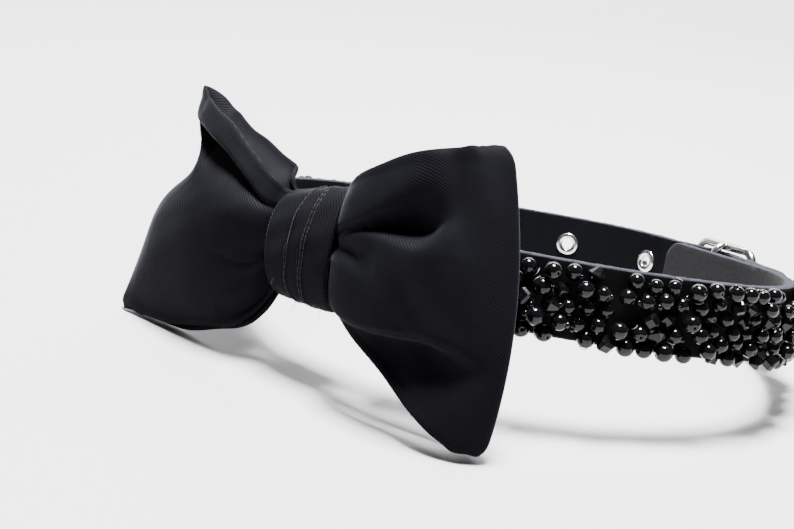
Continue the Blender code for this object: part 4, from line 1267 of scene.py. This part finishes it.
def camera():
    yaw, pitch, roll = (math.radians(turn) for turn in CAMERA_TURNS)
    ahead = Vector((math.sin(yaw) * math.cos(pitch), math.cos(yaw) * math.cos(pitch), -math.sin(pitch)))
    level = Vector((math.cos(yaw), -math.sin(yaw), 0.0))
    above = level.cross(ahead)
    right = level * math.cos(roll) + above * math.sin(roll)
    over = above * math.cos(roll) - level * math.sin(roll)
    data = bpy.data.cameras.new("camera")
    data.lens = CAMERA_LENS
    data.sensor_width = 36.0
    data.clip_start = 0.01
    made = put("camera", data)
    turn = Matrix((right, over, -ahead)).transposed().to_4x4()
    made.matrix_world = Matrix.Translation(CAMERA_PLACE) @ turn
    bpy.context.scene.camera = made


def light(name, place, aim, size, power):
    data = bpy.data.lights.new(name, "AREA")
    data.shape = "RECTANGLE"
    data.size, data.size_y = size
    data.energy = power
    turn = (Vector(aim) - Vector(place)).to_track_quat("-Z", "Y").to_matrix().to_4x4()
    put(name, data).matrix_world = Matrix.Translation(place) @ turn


def studio():
    """A seamless pale sweep, soft light from above, and a lit background."""
    across = np.linspace(-2.6, 2.6, 27)
    bend = np.radians(np.linspace(0, 88, 16))
    line = [(-2.6, 0.0), (-0.6, 0.0), (0.2, 0.0), (0.9, 0.0)]
    line += [(1.3 + 0.7 * math.sin(t), 0.7 - 0.7 * math.cos(t)) for t in bend]
    line += [(2.03, 1.4), (2.05, 2.4)]
    aim = math.radians(CAMERA_TURNS[0])
    points = [(x * math.cos(aim) + y * math.sin(aim), -x * math.sin(aim) + y * math.cos(aim), z)
              for y, z in line for x in across]
    mesh = new_mesh("floor", points, grid_faces(len(line), len(across))[0])
    mesh.materials.append(Finish("floor", (0.34, 0.34, 0.345), 0.6).material)
    put("floor", mesh)
    light("key", (0.0, 0.05, 2.20), (0.0, 0.0, 0.02), (0.65, 0.65), 600.0)
    light("back", (-1.5, 1.8, 1.6), (-1.6, 1.95, 0.0), (2.6, 1.4), 330.0)
    world = bpy.data.worlds.new("studio")
    world.use_nodes = True
    background = world.node_tree.nodes["Background"]
    background.inputs["Color"].default_value = (1.0, 1.0, 1.0, 1.0)
    background.inputs["Strength"].default_value = 0.10
    bpy.context.scene.world = world


BOW_TWILL = twill("bow_twill", (0.0032, 0.0032, 0.0041), 0.00068, math.radians(52), 0.00007)
KNOT_TWILL = twill("knot_twill_cloth", (0.0034, 0.0034, 0.0042), 0.00064, math.radians(32), 0.00009)
STRAP_OUTER = leather("strap_grain", (0.0024, 0.0024, 0.0028), 0.50, 1500.0, 0.00005)
STRAP_INNER = leather("strap_lining", (0.0020, 0.0022, 0.0028), 0.58, 1100.0, 0.00003, 0.25)
STRAP_EDGE = suede("strap_cut_edge", (0.0190, 0.0200, 0.0250), 0.00014)
# A lighter grey for the strap's inner face, from GUARD_FACE_FROM to its inner end
GUARD_FACE = suede("guard_lighter_face", (0.0062, 0.0063, 0.0072), 0.00008)
TAB_LEATHER = leather("tab_grain", (0.0060, 0.0060, 0.0066), 0.48, 1400.0, 0.00005)
NICKEL = metal("nickel_plate", (0.80, 0.79, 0.76), 0.16)
PRONG_STEEL = metal("steel_wire", (0.72, 0.72, 0.72), 0.22)
EYELET_METAL = metal("eyelet_plate", (0.80, 0.79, 0.77), 0.18)
JET_ROUND = jet("jet_round", 0.055)
JET_CUT = jet("jet_cut", 0.10)
THREAD = Finish("black_thread", (0.008, 0.008, 0.009), 0.6).material
PALE_THREAD = Finish("pale_thread", (0.0060, 0.0060, 0.0068), 0.6).material
NYLON = Finish("clear_thread", (0.22, 0.22, 0.23), 0.25, Transmission_Weight=0.5).material

camera()
studio()
strap()
eyelets()
buckle()
chape()
bead_field("beads_right", "bead_field_right", BEADS_FROM_BOW, BUCKLE_FROM_BOW - TAIL_REACH - BEADS_TO_TIP,
           21, lambda away: 0.80 + 0.20 * min(1.0, away / 0.07))
bead_field("beads_left", "bead_field_left", -BEADS_FROM_BOW, -BEADS_LEFT_END, 34, lambda away: 0.95)
bow_piece, bow_round, bow_area = bow()
knot_piece, knot_round = knot()
